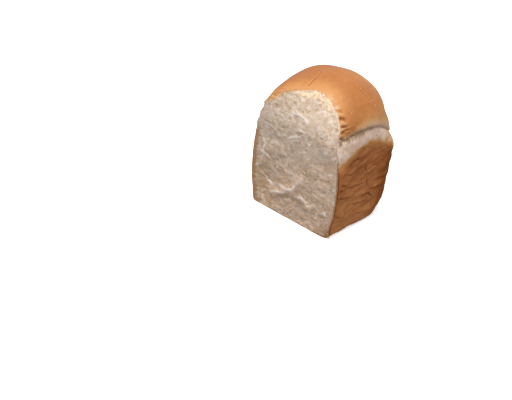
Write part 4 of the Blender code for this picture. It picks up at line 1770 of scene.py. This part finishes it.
    def details(self, points: Array, from_tear: Array) -> dict[str, Array]:
        """Relief, bake and painted shade of the whole crust.

        Args:
            points: Points of the crust's form.
            from_tear: Distance of each point behind the torn edge.

        Returns:
            The relief's height, and the shares of bake, shade, streak and speck for the finish; shade is
            painted shade, and bake also carries painted shade and light of the dome's creases.
        """
        form = self.form
        x, y, z = points.T
        rim, groove = form.along(y, form.rim_z), form.along(y, form.groove_z)
        in_tin = 1.0 - smooth_step(0.0, 1.0, (z - rim + self.blend) / self.blend)
        on_dome = smooth_step(0.0, 1.0, (z - groove) / self.blend)
        in_band = (1.0 - in_tin) * (1.0 - on_dome)
        folded, tin_fold_shade = self.tin_relief(points)
        creased, crease_shade_and_light = self.crease_relief(form.lopsided(points))
        curled, curl_and_groove_shade = self.curl_relief(points)
        banded = sum(swells.at(points) for swells in self.band_swells)
        domed = sum(swells.at(points) for swells in self.dimples)
        calm = smooth_step(0.0, form.edge_fade, z) * smooth_step(0.0, self.tear_fade, from_tear)
        fine_calm = smooth_step(0.0, self.fine_fade, from_tear)
        relief = folded * in_tin + banded * in_band + domed * on_dome
        height = relief * mix(calm, fine_calm, self.fine_share)
        height += (creased * on_dome + curled + self.lump_relief(points)) * fine_calm
        above = z - groove
        bake = np.where(above > 0.0, self.dome_baking(points, from_tear), self.tin_baking(points, from_tear))
        # painted shade in the dome's crease and puckers goes into the bake, and their bulges are painted
        # lighter
        bake = np.clip(bake, 0.02, 1.0) + self.painted_crease_shade * crease_shade_and_light * on_dome
        # painted shade in the tin's folds and hollows and in the dome's creases
        shade = self.fold_shade * tin_fold_shade * in_tin
        shade = shade + self.crease_shade * np.clip(crease_shade_and_light, 0.0, 1.0) * on_dome
        groove_shade = self.groove_shade.at(above) * smooth_step(0.0, 2.0 * self.fine_fade, from_tear)
        over, under = self.streaks
        drawn = above + self.skirt_wander(points)
        streak = over.at(drawn) * under.at(drawn) + self.band_streak * in_band
        right, behind = self.speck_zone
        return {"height": height, "bake": bake, "shade": np.maximum.reduce([shade, groove_shade, curl_and_groove_shade]),
                "streak": streak, "speck": on_dome * right.at(x) * behind.at(from_tear)}

    def skirt_wander(self, points: Array) -> Array:
        """How far the dome's pale lower edge wanders up and down."""
        return sum(swells.at(points) for swells in self.skirt_rags)

    def tin_baking(self, points: Array, from_tear: Array) -> Array:
        """How browned the crust of the tin and the pale band over it is.

        Args:
            points: Points of the crust's form.
            from_tear: Distance of each point behind the torn edge.

        Returns:
            The share of bake.
        """
        y, z = points[:, 1], points[:, 2]
        ragged = sum(swells.at(points) for swells in self.border_rags)
        below = self.form.along(y, self.border_z) + ragged + self.border_hump.at(y) - z
        slanted = self.slanted(points)
        low, forward = self.pale_foot
        bake = sum(step.at(below) for step in self.browning)
        bake += self.bake_wander[0] * self.bake_swells.at(points)
        bake += self.heel_bake.at(y) - low.at(z) * forward.at(y)
        bake += self.brown_patches.at(slanted) - self.pale_patches.at(slanted)
        line, low = self.torn_line
        close, high = self.torn_band
        bake += line.at(from_tear) * low.at(below)
        return bake + close.at(from_tear) * high.at(below) * self.torn_band_patches.at(points)

    def dome_baking(self, points: Array, from_tear: Array) -> Array:
        """How browned the dome is: most at the crown and the sides, least along its lower edge, with a
        painted highlight as paler bake on its middle.

        Args:
            points: Points of the crust's form.
            from_tear: Distance of each point behind the torn edge.

        Returns:
            The share of bake.
        """
        x, y, z = points.T
        right, left = self.side_bake
        low, behind = self.pale_skirt
        bake = self.dome_bake + self.crown_bake.at(z) + right.at(x) + left.at(x)
        bake += self.bake_wander[1] * self.bake_swells.at(points)
        # the spot's paler bake is a painted highlight
        bake -= low.at(z) * behind.at(y) + self.highlight_spot.at(x, z) + self.pale_tear.at(from_tear)
        scraps = self.scrap_edge.at(from_tear + self.scrap_swells.at(points))
        bake -= scraps * self.scrap_patches.at(points) * self.scrap_x.at(x)
        above = z - self.form.along(y, self.form.groove_z) + self.skirt_wander(points)
        return bake * self.skirt.at(above / self.skirt_reach.at(y))

    def build(self, grid: LoafGrid, face: Array, fit: BoxFit,
              finishes: tuple[CrustFinish, CrustFinish]) -> Array:
        """Makes the crust's two pieces, which meet in the groove under the dome.

        Args:
            grid: Point grids of the loaf.
            face: Points of the torn face.
            fit: Place and box of the solid.
            finishes: Finish in the tin and on the dome.

        Returns:
            The move from the form's own place to the frame's.
        """
        lattice = grid.lattice
        walls = grid.walls()
        rows, columns = walls.shape[:2]
        cap, base = grid.cap(walls, face), grid.base(walls, face)
        wall_index = np.arange(rows * columns).reshape(rows, columns)
        cap_index, cap_points = self.sheet_index(cap, wall_index[-1], lattice, rows * columns)
        first = rows * columns + len(cap_points)
        base_index, base_points = self.sheet_index(base, wall_index[0], lattice, first)
        points = np.concatenate([walls.reshape(-1, 3), cap_points, base_points])
        split = lattice.tin_rows + 1
        tin_quads = np.concatenate([grid_quads(wall_index[:split], True), grid_quads(base_index, True)])
        dome_quads = np.concatenate([grid_quads(wall_index[split - 1:], True), grid_quads(cap_index)])
        from_tear = points[:, 1] - grid.form.torn_y(points[:, 0], points[:, 2])
        details = self.details(points, from_tear)
        placed = grid.form.lopsided(points)
        normals = point_normals(placed, np.concatenate([tin_quads, dome_quads]))
        placed = placed + normals * details["height"][:, None]
        placed[:, 2] = np.maximum(placed[:, 2], 0.0)
        shift = fit.shift_for(np.concatenate([placed, grid.form.lopsided(face.reshape(-1, 3))]))
        placed = fit.keep_in(placed + shift)
        pieces = (("tin_crust", tin_quads), ("dome_crust", dome_quads))
        for (name, quads), finish in zip(pieces, finishes):
            used, compact = np.unique(quads, return_inverse=True)
            mesh = make_mesh(name, placed[used], compact.reshape(quads.shape))
            for value in ("bake", "shade", "streak", "speck"):
                set_value(mesh, value, details[value][used])
            add_piece(name, mesh, finish.material())
        return shift

    @staticmethod
    def sheet_index(sheet: Array, ring: Array, lattice: Lattice, first: int) -> tuple[Array, Array]:
        """Point numbers of a sheet that shares its sides and back with a ring of the walls.

        Args:
            sheet: Points of the sheet.
            ring: Point numbers of the ring.
            lattice: Rows and columns.
            first: Number of the sheet's first new point.

        Returns:
            The sheet's point numbers, and its new points.
        """
        index = np.full(sheet.shape[:2], -1)
        index[:, 0], index[-1], index[:, -1] = lattice.ring_sides(ring)
        new = index < 0
        index[new] = first + np.arange(new.sum())
        return index, sheet[new]


@dataclass(frozen=True)
class CameraPlace:
    """The photograph's viewpoint: where it looks, from which side, and its lens."""

    aim: Triple = (-0.0543, -0.0514, -0.0016)
    azimuth: float = 41.38
    elevation: float = 30.02
    roll: float = 5.11
    distance: float = 1.5821
    lens: float = 98.4375
    sensor: float = 36.0

    def build(self) -> bpy.types.Object:
        """Makes the camera and makes it the scene's own."""
        turn, rise, roll = (math.radians(angle) for angle in (self.azimuth, self.elevation, self.roll))
        back = Vector((math.sin(turn) * math.cos(rise), -math.cos(turn) * math.cos(rise), math.sin(rise)))
        level = Vector((math.cos(turn), math.sin(turn), 0.0))
        upright = back.cross(level)
        right = math.cos(roll) * level + math.sin(roll) * upright
        up = math.cos(roll) * upright - math.sin(roll) * level
        data = bpy.data.cameras.new("camera")
        data.lens = self.lens
        data.sensor_width = self.sensor
        camera = bpy.data.objects.new("camera", data)
        camera.matrix_world = Matrix((right, up, back)).transposed().to_4x4()
        camera.location = Vector(self.aim) + back * self.distance
        bpy.context.scene.collection.objects.link(camera)
        bpy.context.scene.camera = camera
        return camera


@dataclass(frozen=True)
class Studio:
    """Plain pale floor, soft light from above and an even surround."""

    floor_radius: float = 4.0
    floor_colour: Colour = (0.93, 0.93, 0.93)
    floor_glow: float = 0.48
    floor_drop: float = 0.0001
    key_place: Triple = (0.05, -0.30, 1.35)
    key_aim: Triple = (0.0, 0.0, 0.1)
    key_size: float = 1.1
    key_power: float = 12.0
    sky: float = 0.80
    ground: float = 0.30

    def build(self) -> None:
        """Makes the floor, the key light and the surround."""
        self.floor()
        self.key_light()
        self.surround()
        bpy.context.scene.view_settings.view_transform = "Standard"

    def floor(self) -> None:
        """Makes the floor, which gives no bounce light."""
        bpy.ops.mesh.primitive_circle_add(vertices=64, radius=self.floor_radius, fill_type="NGON")
        floor = bpy.context.object
        floor.name = "floor"
        floor.location.z = -self.floor_drop
        material, _, shader = new_material("pale_floor")
        shader.inputs["Base Color"].default_value = (*self.floor_colour, 1.0)
        shader.inputs["Roughness"].default_value = 0.9
        shader.inputs["Specular IOR Level"].default_value = 0.1
        shader.inputs["Emission Color"].default_value = (1.0, 1.0, 1.0, 1.0)
        shader.inputs["Emission Strength"].default_value = self.floor_glow
        floor.data.materials.append(material)
        floor.visible_diffuse = False
        floor.visible_glossy = False

    def key_light(self) -> None:
        """Makes the wide soft light above the loaf."""
        data = bpy.data.lights.new("key", "AREA")
        data.shape = "DISK"
        data.size = self.key_size
        data.energy = self.key_power
        light = bpy.data.objects.new("key", data)
        light.location = self.key_place
        aim = Vector(self.key_aim) - Vector(self.key_place)
        light.rotation_euler = aim.to_track_quat("-Z", "Y").to_euler()
        bpy.context.scene.collection.objects.link(light)

    def surround(self) -> None:
        """Makes a surround that is brighter above than below."""
        world = bpy.data.worlds.new("studio")
        bpy.context.scene.world = world
        world.use_nodes = True
        graph = NodeGraph(world.node_tree)
        background = world.node_tree.nodes["Background"]
        direction = graph.node("ShaderNodeTexCoord").outputs["Generated"]
        rise = graph.node("ShaderNodeSeparateXYZ", {0: direction}).outputs["Z"]
        graph.feed(background.inputs["Strength"], graph.ranged(rise, -0.4, 0.5, self.ground, self.sky))
        background.inputs["Color"].default_value = (1.0, 1.0, 1.0, 1.0)


def main() -> None:
    """Builds the loaf's pieces in order, then the studio round them."""
    logging.basicConfig(level=logging.INFO, format="%(name)s: %(message)s")
    CameraPlace().build()
    Studio().build()
    form = LoafForm()
    fit = BoxFit(*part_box(NODE))
    grid = LoafGrid(form, Lattice())
    face = grid.torn_face()
    finishes = (CrustFinish("tin_crust", roughness=(0.80, 0.95), gloss=0.06, mottle=0.22),
                CrustFinish("dome_crust", roughness=(0.42, 0.75), gloss=0.20, pale=(0.62, 0.46, 0.35),
                            toasted=(0.43, 0.150, 0.042), brown=(0.30, 0.095, 0.022)))
    shift = Crust(form).build(grid, face, fit, finishes)
    log.info("move to the frame: %s mm", np.round(shift / MM, 2))
    crumb = TornCrumb(form)
    crumb.build(face, shift, fit, CrumbFinish("torn_crumb"))
    CrumbWisps(crumb).build(face, shift, fit, CrumbFinish("crumb_threads", softness=0.0))


if __name__ == "__main__":
    main()
